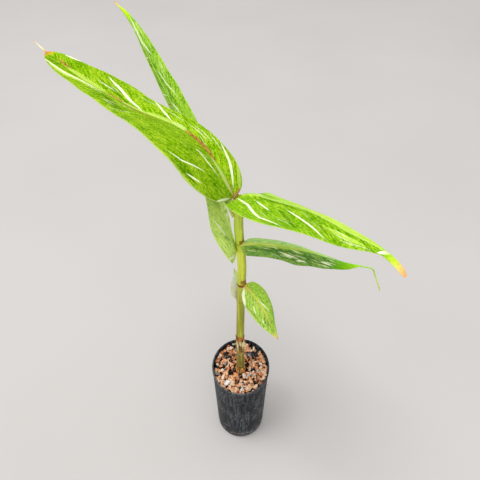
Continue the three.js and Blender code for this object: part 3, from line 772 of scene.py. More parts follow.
def keyed(values, share):
    """Values at even steps along something, read at any share of it on a smooth curve."""
    values = np.asarray(values, dtype=float)
    slopes = np.gradient(values)
    last = len(values) - 1
    k = np.minimum((share * last).astype(int), last - 1)
    t = share * last - k
    t2, t3 = t * t, t * t * t
    start = (2 * t3 - 3 * t2 + 1) * values[k] + (t3 - 2 * t2 + t) * slopes[k]
    return start + (3 * t2 - 2 * t3) * values[k + 1] + (t3 - t2) * slopes[k + 1]


def smooth_path(keys, count):
    """A number of points on a smooth curve through the keys."""
    keys = np.array(keys)
    places = np.linspace(0, 1, count)
    return np.stack([keyed(keys[:, axis], places) for axis in range(3)], axis=1)


# Leaves


def leaf_outline(leaf, share):
    """The leaf's width along its length, as a share of the full width."""
    end = 1 - leaf["tail"]
    first = 1 / leaf["steps"]
    inner = np.clip(np.maximum(share, first) / leaf["widest"], 0, 1)
    outer = np.clip((share - leaf["widest"]) / (end - leaf["widest"]), 0, 1)
    rising = np.sin(0.5 * math.pi * inner) ** leaf["base"] * np.minimum(1, share / first) ** 0.8
    falling = np.maximum(0, np.cos(0.5 * math.pi * outer)) ** leaf["tip"]
    return np.where(share < leaf["widest"], rising, falling)


def leaf_directions(leaf, share):
    """The way ahead, the side towards the leaf's left and the normal of its rib."""
    heading = np.radians(keyed(leaf["heading"], share))
    rise = np.radians(keyed(leaf["rise"], share) - leaf["hook"] * smoothstep(share, *leaf["hook_span"]))
    roll = np.radians(keyed(leaf["roll"], share))[:, None]
    ahead = np.stack([np.cos(rise) * np.cos(heading), np.cos(rise) * np.sin(heading), np.sin(rise)], axis=1)
    level = np.stack([-np.sin(heading), np.cos(heading), np.zeros_like(heading)], axis=1)
    above = np.cross(ahead, level)
    side = level * np.cos(roll) + above * np.sin(roll)
    normal = above * np.cos(roll) - level * np.sin(roll)
    return ahead, side, normal


def leaf_rib(leaf, share):
    """Points of the rib at shares of the leaf's length."""
    lean, radius = cane_at(leaf["node"])
    turn = math.radians(leaf["from"])
    seat = radius - NECK_DEPTH + SHEATH_GAP + 0.5 * SHEATH_WALL
    start = np.array([lean + seat * math.cos(turn), seat * math.sin(turn), leaf["node"]])
    count = leaf["steps"] * SUB_STEPS
    fine = np.linspace(0, 1, count + 1)
    ahead, _, _ = leaf_directions(leaf, fine)
    walked = np.cumsum(ahead[:-1] * leaf["length"] / count, axis=0)
    points = start + np.vstack([np.zeros(3), walked])
    return np.stack([np.interp(share, fine, points[:, axis]) for axis in range(3)], axis=1)


def line_distance(along, reach, line):
    """Each point's distance from a line of (along, reach) points, and its place along the line."""
    line = np.array(line)
    runs = np.diff(line, axis=0)
    lengths = np.hypot(runs[:, 0], runs[:, 1])
    starts = np.concatenate([[0], np.cumsum(lengths)])
    nearest = np.full(along.shape, np.inf)
    place = np.zeros(along.shape)
    for (x, y), (dx, dy), length, start in zip(line, runs, lengths, starts):
        t = np.clip(((along - x) * dx + (reach - y) * dy) / length**2, 0, 1)
        distance = np.hypot(along - x - t * dx, reach - y - t * dy)
        closer = distance < nearest
        nearest = np.where(closer, distance, nearest)
        place = np.where(closer, (start + t * length) / starts[-1], place)
    return nearest, place


def marking(leaf, along, reach, edges, markings):
    """A field that is over a half inside the markings.

    edges are shares of the length, and the widths of the left and the right half there.
    """
    field = np.zeros(along.shape)
    shares, left, right = edges
    for width, *points in markings:
        line = []
        for share, across in points:
            wide = np.interp(share, shares, left if across > 0 else right)
            line.append((share * leaf["length"], across * wide))
        distance, place = line_distance(along, reach, line)
        taper = np.sin(math.pi * np.clip(place, 0.03, 0.97)) ** 0.6
        inside = 0.5 + (0.5 * width * taper - distance) / MARK_SOFT
        field = np.maximum(field, np.clip(inside, 0, 1))
    return field


def scattered_streaks(look, rng):
    """Short cream streaks at random places, each leaning out along the side veins."""
    count, low, high, halves = look["streaks"]
    made = []
    for _ in range(count):
        share = rng.uniform(low, high)
        hand = rng.choice(halves)
        near = rng.uniform(0.1, 0.7)
        far = near + rng.uniform(0.08, 0.24)
        width = rng.uniform(0.35, 0.55)
        made.append((width, (share, hand * near), (share + rng.uniform(0.05, 0.1), hand * far)))
    return tuple(made)


def blade_relief(leaf, along, reach, across, rng):
    """The height of the blade's pleats and swells over its plain form."""
    vein = along - VEIN_SLANT * np.abs(reach) - 0.012 * reach**2
    wander = 0.8 * np.sin(along * 0.11 + reach * 0.23 + rng.uniform(0, 6)) + np.where(reach > 0, 0.0, 1.3)
    middle = smoothstep(np.abs(across), 0.04, 0.2) * (1 - np.abs(across) ** 4)
    pleats = PLEAT_HEIGHT * np.sin(2 * math.pi * vein / VEIN_SPACING + wander) * middle
    swell = np.zeros_like(reach)
    for _ in range(5):
        length = rng.uniform(12, 34)
        turn = rng.uniform(0, math.pi)
        phase = rng.uniform(0, 2 * math.pi)
        run = along * math.cos(turn) + reach * math.sin(turn)
        swell += np.sin(2 * math.pi * run / length + phase)
    share = along / leaf["length"]
    window = smoothstep(share, 0.06, 0.2) * smoothstep(np.abs(across), 0.0, 0.3)
    groove = -0.3 * np.exp(-((reach / 0.9) ** 2)) * (1 - share)
    return vein, pleats + SWELL_HEIGHT * swell / 2.2 * window + groove


def sheet_faces(rows, count):
    """The faces of a closed sheet: its top and its underside, its two long edges and its two ends."""
    size = (rows + 1) * count
    faces = []
    for r in range(rows):
        for c in range(count - 1):
            a = r * count + c
            faces.append((a, a + count, a + count + 1, a + 1))
            faces.append((size + a, size + a + 1, size + a + count + 1, size + a + count))
        for c, flip in ((0, False), (count - 1, True)):
            a = r * count + c
            strip = (a, size + a, size + a + count, a + count)
            faces.append(strip[::-1] if flip else strip)
    for r, flip in ((0, True), (rows, False)):
        for c in range(count - 1):
            a = r * count + c
            strip = (a, a + 1, size + a + 1, size + a)
            faces.append(strip[::-1] if flip else strip)
    return faces


def leaf_blade(leaf):
    """The fine blade: a thin curved sheet with a keel under its rib."""
    rng = random.Random(leaf["name"])
    rows = leaf["steps"] * ROWS_PER_STEP
    columns = leaf["columns"]
    share = np.linspace(0, 1, rows + 1)
    ahead, side, normal = leaf_directions(leaf, share)
    point = leaf_rib(leaf, share)
    outline = leaf_outline(leaf, share)
    ended = np.clip((share - 1 + END_ROUND) / END_ROUND, 0, 1)
    least = STALK_HALF + (leaf["end"] - STALK_HALF) * share
    least = np.maximum(least, THREAD_HALF) * np.sqrt(1 - 0.96 * ended**2)
    half = np.maximum(0.5 * leaf["width"] * outline, least)
    back = outline * np.maximum(0, 1 - share / LOBE_REACH) ** 2
    skew = keyed(leaf["skew"], share)

    across = np.linspace(-1, 1, 2 * columns + 1)[None, :]
    hand = np.sign(across)
    away = np.abs(across)
    wide = half[:, None] * (1 + hand * skew[:, None])
    reach = wide * away
    lobe = np.where(hand > 0, leaf["lobe"][0], leaf["lobe"][1]) * away**2 * back[:, None]
    turn = math.radians(leaf["fold"]) - math.radians(leaf["arch"]) * away
    phase = np.where(hand > 0, 0, 2.1)
    ripple = leaf["wave"] * away**2 * outline[:, None]
    ripple = ripple * np.sin(2 * math.pi * leaf["waves"] * share[:, None] + phase)
    along = np.broadcast_to(share[:, None] * leaf["length"], reach.shape)
    signed = reach * hand
    wide_across = np.broadcast_to(across, reach.shape)
    vein, relief = blade_relief(leaf, along, signed, wide_across, rng)

    def spread(vectors, amounts):
        return vectors[:, None, :] * amounts[:, :, None]

    top = point[:, None, :] + spread(side, signed * np.cos(turn))
    top = top + spread(normal, reach * np.sin(turn) + ripple + relief) - spread(ahead, lobe)
    tilt = hand * (math.radians(leaf["fold"]) - 2 * math.radians(leaf["arch"]) * away)
    rib = BLADE_RIB[0] + (BLADE_RIB[1] - BLADE_RIB[0]) * np.minimum(1, share / 0.9)[:, None]
    skin = BLADE_SKIN * (1 - 0.4 * away**3)
    thick = skin + (rib - BLADE_SKIN) * np.exp(-((reach / 1.2) ** 2))
    below = top - spread(normal, np.cos(tilt) * thick) + spread(side, np.sin(tilt) * thick)

    look = LOOKS[leaf["name"]]
    values = {
        "share": np.broadcast_to(share[:, None], reach.shape),
        "along": along,
        "reach": signed,
        "vein": vein,
        "away": np.broadcast_to(away, reach.shape),
    }
    edges = (share, half * (1 + skew), half * (1 - skew))
    markings = {kind: look.get(kind, ()) for kind in MARK_KINDS}
    markings["cream"] += scattered_streaks(look, rng)
    for kind, lines in markings.items():
        values[kind] = marking(leaf, along, signed, edges, lines)
    both = {key: np.concatenate([value.ravel(), value.ravel()]) for key, value in values.items()}
    points = np.concatenate([top.reshape(-1, 3), below.reshape(-1, 3)])
    under = np.repeat([0.0, 1.0], reach.size)
    shape = Shape()
    shape.add(points, sheet_faces(rows, 2 * columns + 1), under=under, **both)
    return shape


def leaf_material(name, look):
    """Variegated leaf tissue: mottled greens, fine veins, streaks, pale specks in part painted highlight,
    matt underside.
    """
    g = Graph(name, LEAF_SPECULAR)
    vein = g.attribute("vein")
    reach = g.attribute("reach")
    along = g.attribute("along")
    under = g.attribute("under")
    flat = g.joined(along, reach)
    veined = g.joined(vein, reach)

    blotch = g.noise(flat, (0.06, 0.1, 1), 3.0, 0.6)
    streaky = g.noise(veined, (0.85, 0.16, 1), 3.0, 0.7)
    grain = g.noise(flat, (0.55, 0.8, 1), 3.0, 0.75)
    ragged = g.noise(veined, (1.6, 0.25, 1), 3.0, 0.65)
    tone = g.plus(g.times(blotch, 0.16), g.times(streaky, 0.42))
    tone = g.plus(tone, g.times(grain, 0.42))
    halves = [shades(green, spread) for green, spread in zip(look["greens"], look["spread"])]
    left, right = (g.ramp(tone, tuple(zip(TONE_PLACES, half)))[0] for half in halves)
    colour = g.mix(g.between(reach, -0.5, 0.5), right, left)

    def marked(colour, kind, low, high, strength, paint):
        """Paints one kind of marking over the colour, with an edge that the fine noise makes ragged."""
        field = g.minus(g.attribute(kind), g.times(ragged, 0.5))
        return g.over(colour, paint, g.between(field, low, high), strength)

    deepest, _, lightest = halves[1]
    dark = blended(deepest, (0, 0, 0), 0.2)
    glow = look["glow"]
    colour = marked(colour, "dark", -0.1, 0.5, 0.5, dark)
    colour = marked(colour, "bright", -0.1, 0.5, 0.75, glow)

    lines = g.maths("SINE", g.times(vein, 2 * math.pi / VEIN_SPACING * 2))
    lines = g.between(lines, 0.5, 1.0)
    colour = g.over(colour, dark, lines, 0.2)

    # The pale specks in the flecked patches are partly the leaf's own pale marks and partly painted
    # highlights, standing in for the gloss that the low specular leaves out
    specks = g.noise(veined, (1.3, 0.22, 1), 2.0, 0.6)
    patches = g.noise(flat, (0.05, 0.07, 1), 1.0, 0.5)
    patches = g.between(patches, 0.66 - look["flecks_and_highlights"] * 0.5, 0.76 - look["flecks_and_highlights"] * 0.5)
    colour = g.over(colour, blended(glow, lightest, 0.5), g.between(specks, 0.59, 0.67), patches)
    colour = g.over(colour, dark, g.between(specks, 0.42, 0.34), 0.6)
    margin = g.between(g.attribute("away"), 0.955, 0.995)
    colour = g.over(colour, blended(glow, SPECK_PALE, 0.4), margin, 0.5)

    rib_colour = look.get("rib_colour", blended(glow, RIB_PALE, 0.6))
    colour = marked(colour, "rib", 0.0, 0.4, 0.85, rib_colour)
    cream, _ = g.ramp(ragged, CREAM_TONES)
    colour = marked(colour, "cream", 0.1, 0.42, 1.0, cream)
    brown, _ = g.ramp(grain, BROWN_TONES)
    colour = marked(colour, "brown", 0.05, 0.45, 0.85, brown)

    zone, opacity = g.ramp(g.attribute("share"), look["zones"])
    shaded = g.over(zone, dark, g.between(tone, 0.5, 0.42), 0.35)
    colour = g.mix(opacity, colour, shaded)
    underside = blended(look["greens"][0], UNDER_PALE, 0.4)
    g.colour(g.over(colour, underside, under, UNDER_SHARE))

    g.roughness(grain, 0.3, 0.25, g.times(under, 0.2))
    height = g.plus(g.times(lines, -0.6), g.times(grain, 0.8))
    g.bump(height, 0.35, 0.25)
    return g.material


def cane_skin(name):
    """A material with the cane's colours: brown at the foot, olive above, yellow-green at the top, painted
    shade at +X.
    """
    g = Graph(name, CANE_SPECULAR)
    place = g.place()
    side = g.attribute("side")
    height = g.attribute("height")
    fibres = g.noise(place, (700, 700, 25), 4.0, 0.6)
    patches = g.noise(place, (160, 160, 60), 3.0, 0.6)
    grain = g.noise(place, (900, 900, 400), 3.0, 0.7)
    low, high = CANE_COLOURS[0][0], CANE_COLOURS[-1][0]
    level = g.minus(g.plus(height, g.wander(patches, 12.0)), low)
    level = g.maths("DIVIDE", level, high - low)
    colour, _ = g.ramp(level, [((z - low) / (high - low), part) for z, part in CANE_COLOURS])
    colour = g.over(colour, CANE_LIGHT_FIBRE, g.between(fibres, 0.5, 0.62), 0.5)
    colour = g.over(colour, CANE_DARK_FIBRE, g.between(fibres, 0.48, 0.38), 0.3)
    low_part = g.between(height, 180.0, 150.0)
    colour = g.over(colour, CANE_LIGHT_GRAIN, g.between(grain, 0.53, 0.62), low_part, 0.55)
    colour = g.over(colour, CANE_DARK_GRAIN, g.between(grain, 0.47, 0.38), low_part, 0.6)
    # Painted shade: the cane's right (+X) side, away from the softbox, is darkened half way towards a dark
    # olive
    painted_shade_side = g.between(g.plus(side, g.wander(patches, 1.6)), 0.3, 0.9)
    colour = g.mix(painted_shade_side, colour, g.mix(0.5, colour, CANE_PAINTED_SHADE))
    middle = g.between(height, 246.0, 232.0)
    colour = g.over(colour, CANE_BLUSH, g.between(side, -0.72, -0.95), middle, 0.6)
    specks = g.between(grain, 0.6, 0.68)
    colour = g.over(colour, CANE_SPECK, specks, g.between(height, 250.0, 150.0), 0.6)
    scar = g.plus(g.attribute("scar"), g.wander(grain, 0.8))
    colour = g.over(colour, SCAR_COLOUR, g.between(scar, 0.3, 0.8), 0.85)
    g.roughness(fibres, 0.25, 0.36)
    g.bump(fibres, 0.3, 0.4)
    return g, colour, grain


def sheath_material(name, stalk_colour, lip_strength):
    """The mouth of a leaf's sheath: cane-green, with a dry brown lip, turning into the leaf stalk."""
    g, colour, grain = cane_skin(name)
    colour = g.over(colour, stalk_colour, g.attribute("stalk"))
    lip = g.plus(g.attribute("lip"), g.wander(grain, 0.8))
    from_here = 0.9 - 0.5 * lip_strength
    lip = g.between(lip, from_here, from_here + 0.15)
    dry, _ = g.ramp(grain, LIP_TONES)
    g.colour(g.over(colour, dry, lip, min(1, 1.2 * lip_strength)))
    return g.material


def sheath_shape(leaf):
    """The sheath's mouth round the cane, slanted up to the stalk, and the stalk under the blade's foot."""
    sides = SHEATH_SIDES
    angles = np.linspace(0, 2 * math.pi, sides, endpoint=False)
    towards = np.cos(angles - math.radians(leaf["from"]))
    low, high = leaf["node"] - SHEATH_HEIGHT, leaf["node"]
    rings = []
    lips = []
    for t in np.linspace(0, 1, 12):
        z = low + (high - low) * t
        flare = SHEATH_FLARE * t**3 * LOOKS[leaf["name"]]["lip"]
        radius = cane_at(z)[1] + SHEATH_PROUD - 0.3 * (1 - t) ** 4 + flare * (0.6 + 0.4 * towards)
        jag = 0.35 * t**4 * np.sin(9 * angles + leaf["node"]) * (1 - 0.6 * towards)
        rings.append(ring_round(z, radius, sides, SHEATH_SLANT * towards + jag))
        lips.append(t * (0.7 + 0.3 * towards))
    for place, z, lip in ((high, high - 0.3, 0.7 + 0.3 * towards), (low, low, np.zeros(sides))):
        inner = cane_at(place)[1] - NECK_DEPTH + SHEATH_GAP
        rings.append(ring_round(z, inner, sides, SHEATH_SLANT * towards))
        lips.append(lip)
    points = np.array(rings).reshape(-1, 3)
    side = np.tile(np.cos(angles), len(rings))
    shape = Shape()
    faces = looped_faces(len(rings), sides)
    shape.add(points, faces, lip=np.concatenate(lips), stalk=0.0, height=points[:, 2], side=side)

    share = np.linspace(0, 2.2 / leaf["steps"], STALK_POINTS)
    ahead, _, normal = leaf_directions(leaf, share)
    thickness = STALK_HALF + (0.45 - STALK_HALF) * np.linspace(0, 1, STALK_POINTS)
    path = leaf_rib(leaf, share) - normal * (0.95 * thickness + 0.1)[:, None]
    points, faces = tube(path, thickness, 20)
    shape.add(points, faces, lip=0.0, stalk=1.0, height=points[:, 2], side=0.0)
    if leaf is LEAVES[-1]:
        path = smooth_path(TOP_RIM, RIM_POINTS)
        points, faces = tube(path, np.linspace(*TOP_RIM_HALF, RIM_POINTS), 14)
        shape.add(points, faces, lip=0.0, stalk=1.0, height=points[:, 2], side=0.0)
    return shape


def make_leaves():
    for leaf in LEAVES:
        name = leaf["name"]
        look = LOOKS[name]
        material = leaf_material(name + "_tissue", look)
        make_piece(name + "_blade", leaf_blade(leaf), material, (name,))
        material = sheath_material(name + "_sheath_tissue", look["stalk"], look["lip"])
        make_piece(name + "_sheath", sheath_shape(leaf), material, (name,))


# Cane and rootstock


def clasp_depth(z):
    """How far the cane is necked in at a height, where a sheath or a scale clasps it."""
    spans = [(part["node"] - SHEATH_HEIGHT + SHEATH_SLANT, part["node"] - SHEATH_SLANT) for part in LEAVES]
    spans += [(scale["low"], scale["high"]) for scale in SCALES]
    depth = 0.0
    for low, high in spans:
        inside = min(z - low, high - z) / 0.8
        depth = max(depth, min(max(inside, 0), 1))
    return depth * NECK_DEPTH


def scar_share(z, angles):
    """How much of each point at a height is covered by a dry patch."""
    share = np.zeros(len(angles))
    for foot, top, turn in SCARS:
        near = smoothstep(np.cos(angles - math.radians(turn)), 0.35, 0.75)
        level = smoothstep(np.float64(z), top + 0.6, top - 0.8) * (z > foot - 2)
        share = np.maximum(share, near * level)
    return share


def make_cane():
    shape = Shape()
    angles = np.linspace(0, 2 * math.pi, CANE_SIDES, endpoint=False)
    low, high = CANE_KEYS[0][0], CANE_KEYS[-1][0]
    heights = np.arange(low, high + 0.01, CANE_STEP)
    rings = []
    for z in heights:
        radius = cane_at(z)[1] - clasp_depth(z)
        ribs = 0.05 * np.sin(11 * angles + 0.01 * z) + 0.04 * np.sin(5 * angles + 0.03 * z)
        rings.append(ring_round(z, radius + ribs - 0.05, CANE_SIDES))
    rings.append(ring_round(high, 1.2, CANE_SIDES, 0.25))
    points, faces = ring_solid(rings)
    side = np.tile(np.cos(angles), len(rings))
    scar = np.concatenate([scar_share(z, angles) for z in (*heights, high)])
    shape.add(points, faces, height=points[:, 2], side=side, scar=scar)
    g, colour, _ = cane_skin("cane_tissue_skin")
    g.colour(colour)
    make_piece("cane_stem", shape, g.material, ("cane",))


def make_rootstock():
    """The creeping rhizome in the mix and its fleshy roots."""
    lie = math.radians(RHIZOME_TURN)
    along = np.array([math.cos(lie), math.sin(lie), 0.0])

    def point_at(share, drop):
        middle = np.array([0, 0, RHIZOME_LEVEL])
        return middle + along * (share - 0.5) * RHIZOME_LENGTH + np.array([0, 0, -drop])

    shape = Shape()
    share = np.linspace(0, 1, 40)
    ends = np.sqrt(np.maximum(0.08, np.sin(math.pi * (0.06 + 0.88 * share))))
    radii = RHIZOME_WIDTH * ends * (1 + 0.07 * np.cos(2 * math.pi * 4 * share))
    path = smooth_path([point_at(0, 3), point_at(0.35, 1), point_at(0.7, 0), point_at(1, -4)], 40)
    shape.add(*tube(path, radii, 28))
    for k in range(ROOT_COUNT):
        start = point_at(0.15 + 0.7 * k / (ROOT_COUNT - 1), 2)
        turn = math.radians(RHIZOME_TURN + 90 + ROOT_TURN * k)
        out = np.array([math.cos(turn), math.sin(turn), 0.0]) * ROOT_REACH
        depth = ROOT_DEPTH * (1 + 0.04 * (k % 3))
        keys = [start + out * reach + np.array([0, 0, -depth * drop]) for reach, drop in ROOT_LINE]
        shape.add(*tube(smooth_path(keys, 20), np.linspace(1.3, 0.6, 20), 10))
    g = Graph("rootstock_skin")
    grain = g.noise(g.place(), (300, 300, 300), 4.0, 0.6)
    colour, _ = g.ramp(grain, ROOT_TONES)
    g.colour(colour)
    g.roughness(grain, 0.2, 0.6)
    g.bump(grain, 0.4, 0.5)
    make_piece("rootstock", shape, g.material, ("cane",))


def scale_material(name, colours, edge_colours):
    """Dry, papery sheath: fibres and pale streaks along it, and a torn edge in other browns."""
    g = Graph(name, CHIP_SPECULAR)
    place = g.place()
    fibres = g.noise(place, (900, 900, 50), 4.0, 0.65)
    patches = g.noise(place, (260, 260, 110), 3.0, 0.6)
    colour, _ = g.ramp(patches, tuple(zip((0.4, 0.5, 0.6), colours)))
    edge = g.attribute("edge")
    colour = g.over(colour, SCALE_STREAK, g.between(fibres, 0.52, 0.6), g.between(edge, 0.2, 0.6))
    colour = g.over(colour, edge_colours[0], g.between(fibres, 0.44, 0.36), 0.7)
    torn, _ = g.ramp(patches, tuple(zip((0.45, 0.55), edge_colours)))
    edge = g.plus(edge, g.wander(fibres, 0.8))
    g.colour(g.over(colour, torn, g.between(edge, 0.82, 0.95)))
    g.roughness(fibres, 0.2, 0.65)
    g.bump(fibres, 0.6, 0.6)
    return g.material


def make_scales():
    sides = SCALE_SIDES
    angles = np.linspace(0, 2 * math.pi, sides, endpoint=False)
    for scale in SCALES:
        rng = random.Random(scale["name"])
        phases = [rng.uniform(0, 6.28) for _ in range(6)]
        torn = scale["ragged"] * np.abs(np.sin(0.5 * scale["teeth"] * angles + scale["turn"]))
        fine = 0.5 * np.sin(17 * angles + phases[0]) + 0.4 * np.sin(29 * angles + phases[1])
        outer = []
        inner = []
        edge_values = []
        for t in np.linspace(0, 1, SCALE_ROWS):
            z = scale["low"] + (scale["high"] - scale["low"]) * t
            base = cane_at(z)[1] - NECK_DEPTH + SHEATH_GAP + scale["wall"] - 0.2
            wrinkle = 0.09 * np.sin(13 * angles + phases[2] + 2 * t)
            wrinkle = wrinkle + 0.06 * np.sin(23 * angles + phases[3])
            curl = 0.35 * t**8 * (0.5 + 0.5 * np.sin(7 * angles + phases[4]))
            lift = (torn + fine) * t**5
            outer.append(ring_round(z, base - 0.25 * (1 - t) ** 3 + wrinkle + curl, sides, lift))
            inner.append(ring_round(z, base - scale["wall"] + 0.12 + curl, sides, lift))
            edge_values.append(np.full(sides, t))
        rings = np.array(outer + inner[::-1])
        faces = looped_faces(len(rings), sides)
        shape = Shape()
        edges = np.concatenate(edge_values + edge_values[::-1])
        shape.add(rings.reshape(-1, 3), faces, edge=edges)
        material = scale_material(scale["name"] + "_paper_skin", scale["colours"], scale["edge"])
        make_piece(scale["name"] + "_paper", shape, material, (scale["name"],))


# Pot


def pot_profile():
    """The pot's section as (radius, height), up the outside and down the inside."""
    foot = POT_FOOT_CHAMFER
    outside = [(0.0, 0.0), (POT_FLAT_RADIUS * 0.5, 0.0), (POT_FLAT_RADIUS, 0.0)]
    bend = wall_radius(foot) - POT_FLAT_RADIUS
    for t in np.linspace(0.1, 1, 9):
        angle = 0.5 * math.pi * t
        outside.append((POT_FLAT_RADIUS + bend * math.sin(angle), foot * (1 - math.cos(angle))))
    lip_foot = POT_HEIGHT - POT_LIP_HEIGHT
    for z in np.linspace(foot, lip_foot - 0.6, 24)[1:]:
        outside.append((wall_radius(z), z))
    outside.append((POT_RIM_RADIUS - 0.12, lip_foot - 0.1))
    outside.append((POT_RIM_RADIUS, lip_foot + 0.25))
    outside.append((POT_RIM_RADIUS, POT_HEIGHT - 0.35))
    rim_inner = wall_radius(POT_HEIGHT) - POT_WALL
    outside.append((POT_RIM_RADIUS - 0.2, POT_HEIGHT - 0.05))
    outside.append((POT_RIM_RADIUS - 0.55, POT_HEIGHT))
    outside.append((rim_inner + 0.1, POT_HEIGHT - 0.1))
    inside = []
    for z in np.linspace(POT_HEIGHT - 0.5, foot, 20):
        inside.append((wall_radius(z) - POT_WALL, z))
    inside += [(POT_FLAT_RADIUS, POT_FLOOR), (POT_FLAT_RADIUS * 0.5, POT_FLOOR), (0.0, POT_FLOOR)]
    return outside + inside


def turned(profile, sides):
    """A closed solid turned about the pot's axis. Its profile starts and ends on the axis."""
    angles = np.linspace(0, 2 * math.pi, sides, endpoint=False)
    rings = np.array([turned_ring(radius, angles, z) for radius, z in profile[1:-1]])
    rows = len(rings)
    points = [*rings.reshape(-1, 3), (0, 0, profile[0][1]), (0, 0, profile[-1][1])]
    faces = ring_faces(rows, sides)
    first, last = rows * sides, rows * sides + 1
    for s in range(sides):
        after = (s + 1) % sides
        faces.append((after, s, first))
        faces.append(((rows - 1) * sides + s, (rows - 1) * sides + after, last))
    return np.array(points), faces


def pot_material():
    g = Graph("matt_black_plastic", POT_SPECULAR)
    place = g.place()
    streaks = g.noise(place, (520, 520, 45), 4.0, 0.7)
    clouds = g.noise(place, (120, 120, 60), 3.0, 0.6)
    colour, _ = g.ramp(g.plus(g.times(streaks, 0.8), g.times(clouds, 0.2)), POT_TONES)
    grain = g.noise(place, (500, 500, 900), 3.0, 0.6)
    dust = g.noise(place, (1000, 1000, 600), 1.0, 0.5)
    colour = g.over(colour, POT_DUST, g.between(dust, 0.62, 0.7), g.between(clouds, 0.42, 0.58))
    # Painted highlight: the light band near the foot, broken up by the grain noise
    colour = g.over(colour, POT_FOOT_HIGHLIGHT, g.attribute("foot"), g.between(grain, 0.5, 0.57))
    # Painted highlight: the light line along the top of the rim, broken up by the streaks
    g.colour(g.over(colour, POT_RIM_HIGHLIGHT, g.attribute("edge"), g.between(streaks, 0.35, 0.55)))
    g.roughness(streaks, 0.3, 0.34)
    g.bump(streaks, 0.3, 0.3)
    return g.material


def make_pot():
    points, faces = turned(pot_profile(), POT_SIDES)
    radius = np.hypot(points[:, 0], points[:, 1])
    # Painted highlight along the top of the rim: strongest at the front left and faint at the back right
    front = np.clip(0.3 - 0.35 * (points[:, 0] + points[:, 1]) / POT_RIM_RADIUS, 0.05, 0.8)
    rim = smoothstep(points[:, 2], POT_HEIGHT - 0.6, POT_HEIGHT - 0.05) * front
    # foot is the share of the painted highlight band near the pot's foot
    foot = np.exp(-(((points[:, 2] - FOOT_HIGHLIGHT_HEIGHT) / FOOT_HIGHLIGHT_WIDTH) ** 2)) * smoothstep(radius, 24, 26)
    shape = Shape()
    shape.add(sag(points), faces, edge=rim, foot=foot)
    pot = make_piece("pot_shell", shape, pot_material(), ("pot",))
    angles = np.linspace(0, 2 * math.pi, DRAIN_SIDES, endpoint=False)
    cutter_shape = Shape()
    for k in range(DRAIN_HOLES):
        turn = 2 * math.pi * (k + 0.5) / DRAIN_HOLES
        x = DRAIN_RING_RADIUS * math.cos(turn) + DRAIN_RADIUS * np.cos(angles)
        y = DRAIN_RING_RADIUS * math.sin(turn) + DRAIN_RADIUS * np.sin(angles)
        levels = (-2 * POT_FLOOR, 2 * POT_FLOOR)
        rings = [np.stack([x, y, np.full(DRAIN_SIDES, z)], axis=1) for z in levels]
        cutter_shape.add(*ring_solid(rings))
    cutter_mesh = bpy.data.meshes.new("drain_cutter")
    cutter_mesh.from_pydata((np.concatenate(cutter_shape.points) * MM).tolist(), [], cutter_shape.faces)
    cutter = new_object("drain_cutter", cutter_mesh)
    cut = pot.modifiers.new("drain", "BOOLEAN")
    cut.operation = "DIFFERENCE"
    cut.object = cutter
    graph = bpy.context.evaluated_depsgraph_get()
    drained = bpy.data.meshes.new_from_object(pot.evaluated_get(graph))
    pot.modifiers.clear()
    pot.data = drained
    bpy.data.objects.remove(cutter)


# Growing mix


def chip_block():
    """A unit block with a grid on each side, as points and faces with shared corners."""
    index = {}
    points = []
    faces = []

    def corner(key):
        if key not in index:
            index[key] = len(points)
            points.append([2 * part / CHIP_GRID - 1 for part in key])
        return index[key]

    for axis in range(3):
        for end in (0, CHIP_GRID):
            for i in range(CHIP_GRID):
                for j in range(CHIP_GRID):
                    ring = []
                    for di, dj in ((0, 0), (1, 0), (1, 1), (0, 1)):
                        key = [0, 0, 0]
                        key[axis] = end
                        key[(axis + 1) % 3] = i + di
                        key[(axis + 2) % 3] = j + dj
                        ring.append(corner(tuple(key)))
                    faces.append(tuple(ring if end else ring[::-1]))
    return np.array(points), faces


def turn_matrix(x, y, z):
    """A turn about X, then Y, then Z."""
    (cx, sx), (cy, sy), (cz, sz) = ((math.cos(angle), math.sin(angle)) for angle in (x, y, z))
    about_x = np.array([[1, 0, 0], [0, cx, -sx], [0, sx, cx]])
    about_y = np.array([[cy, 0, sy], [0, 1, 0], [-sy, 0, cy]])
    about_z = np.array([[cz, -sz, 0], [sz, cz, 0], [0, 0, 1]])
    return about_z @ about_y @ about_x


def keep_in_pot(points):
    """Moves points that would reach into the pot's wall or the cane."""
    points = np.array(points, dtype=float)
    radius = np.maximum(np.hypot(points[:, 0], points[:, 1]), 0.01)
    wanted = np.clip(radius, CANE_ROOM, mix_radius(points[:, 2]))
    points[:, :2] *= (wanted / radius)[:, None]
    return points


def rough_chip(block, rng, size):
    """A block with rounded, uneven sides."""
    points = block.copy()
    length = np.linalg.norm(points, axis=1, keepdims=True)
    squareness = rng.uniform(0.45, 0.8)
    points = points * squareness + points / length * (1 - squareness) * 1.25
    for _ in range(4):
        way = np.array([rng.gauss(0, 1) for _ in range(3)])
        way /= np.linalg.norm(way)
        phase = rng.uniform(0, 2 * math.pi)
        waves = rng.uniform(1.5, 5.0)
        points *= 1 + 0.07 * np.sin(waves * (points @ way) + phase)[:, None]
    jitter = np.array([[rng.uniform(-1, 1) for _ in range(3)] for _ in range(len(points))])
    return (points + 0.09 * jitter) * 0.5 * np.array(size)


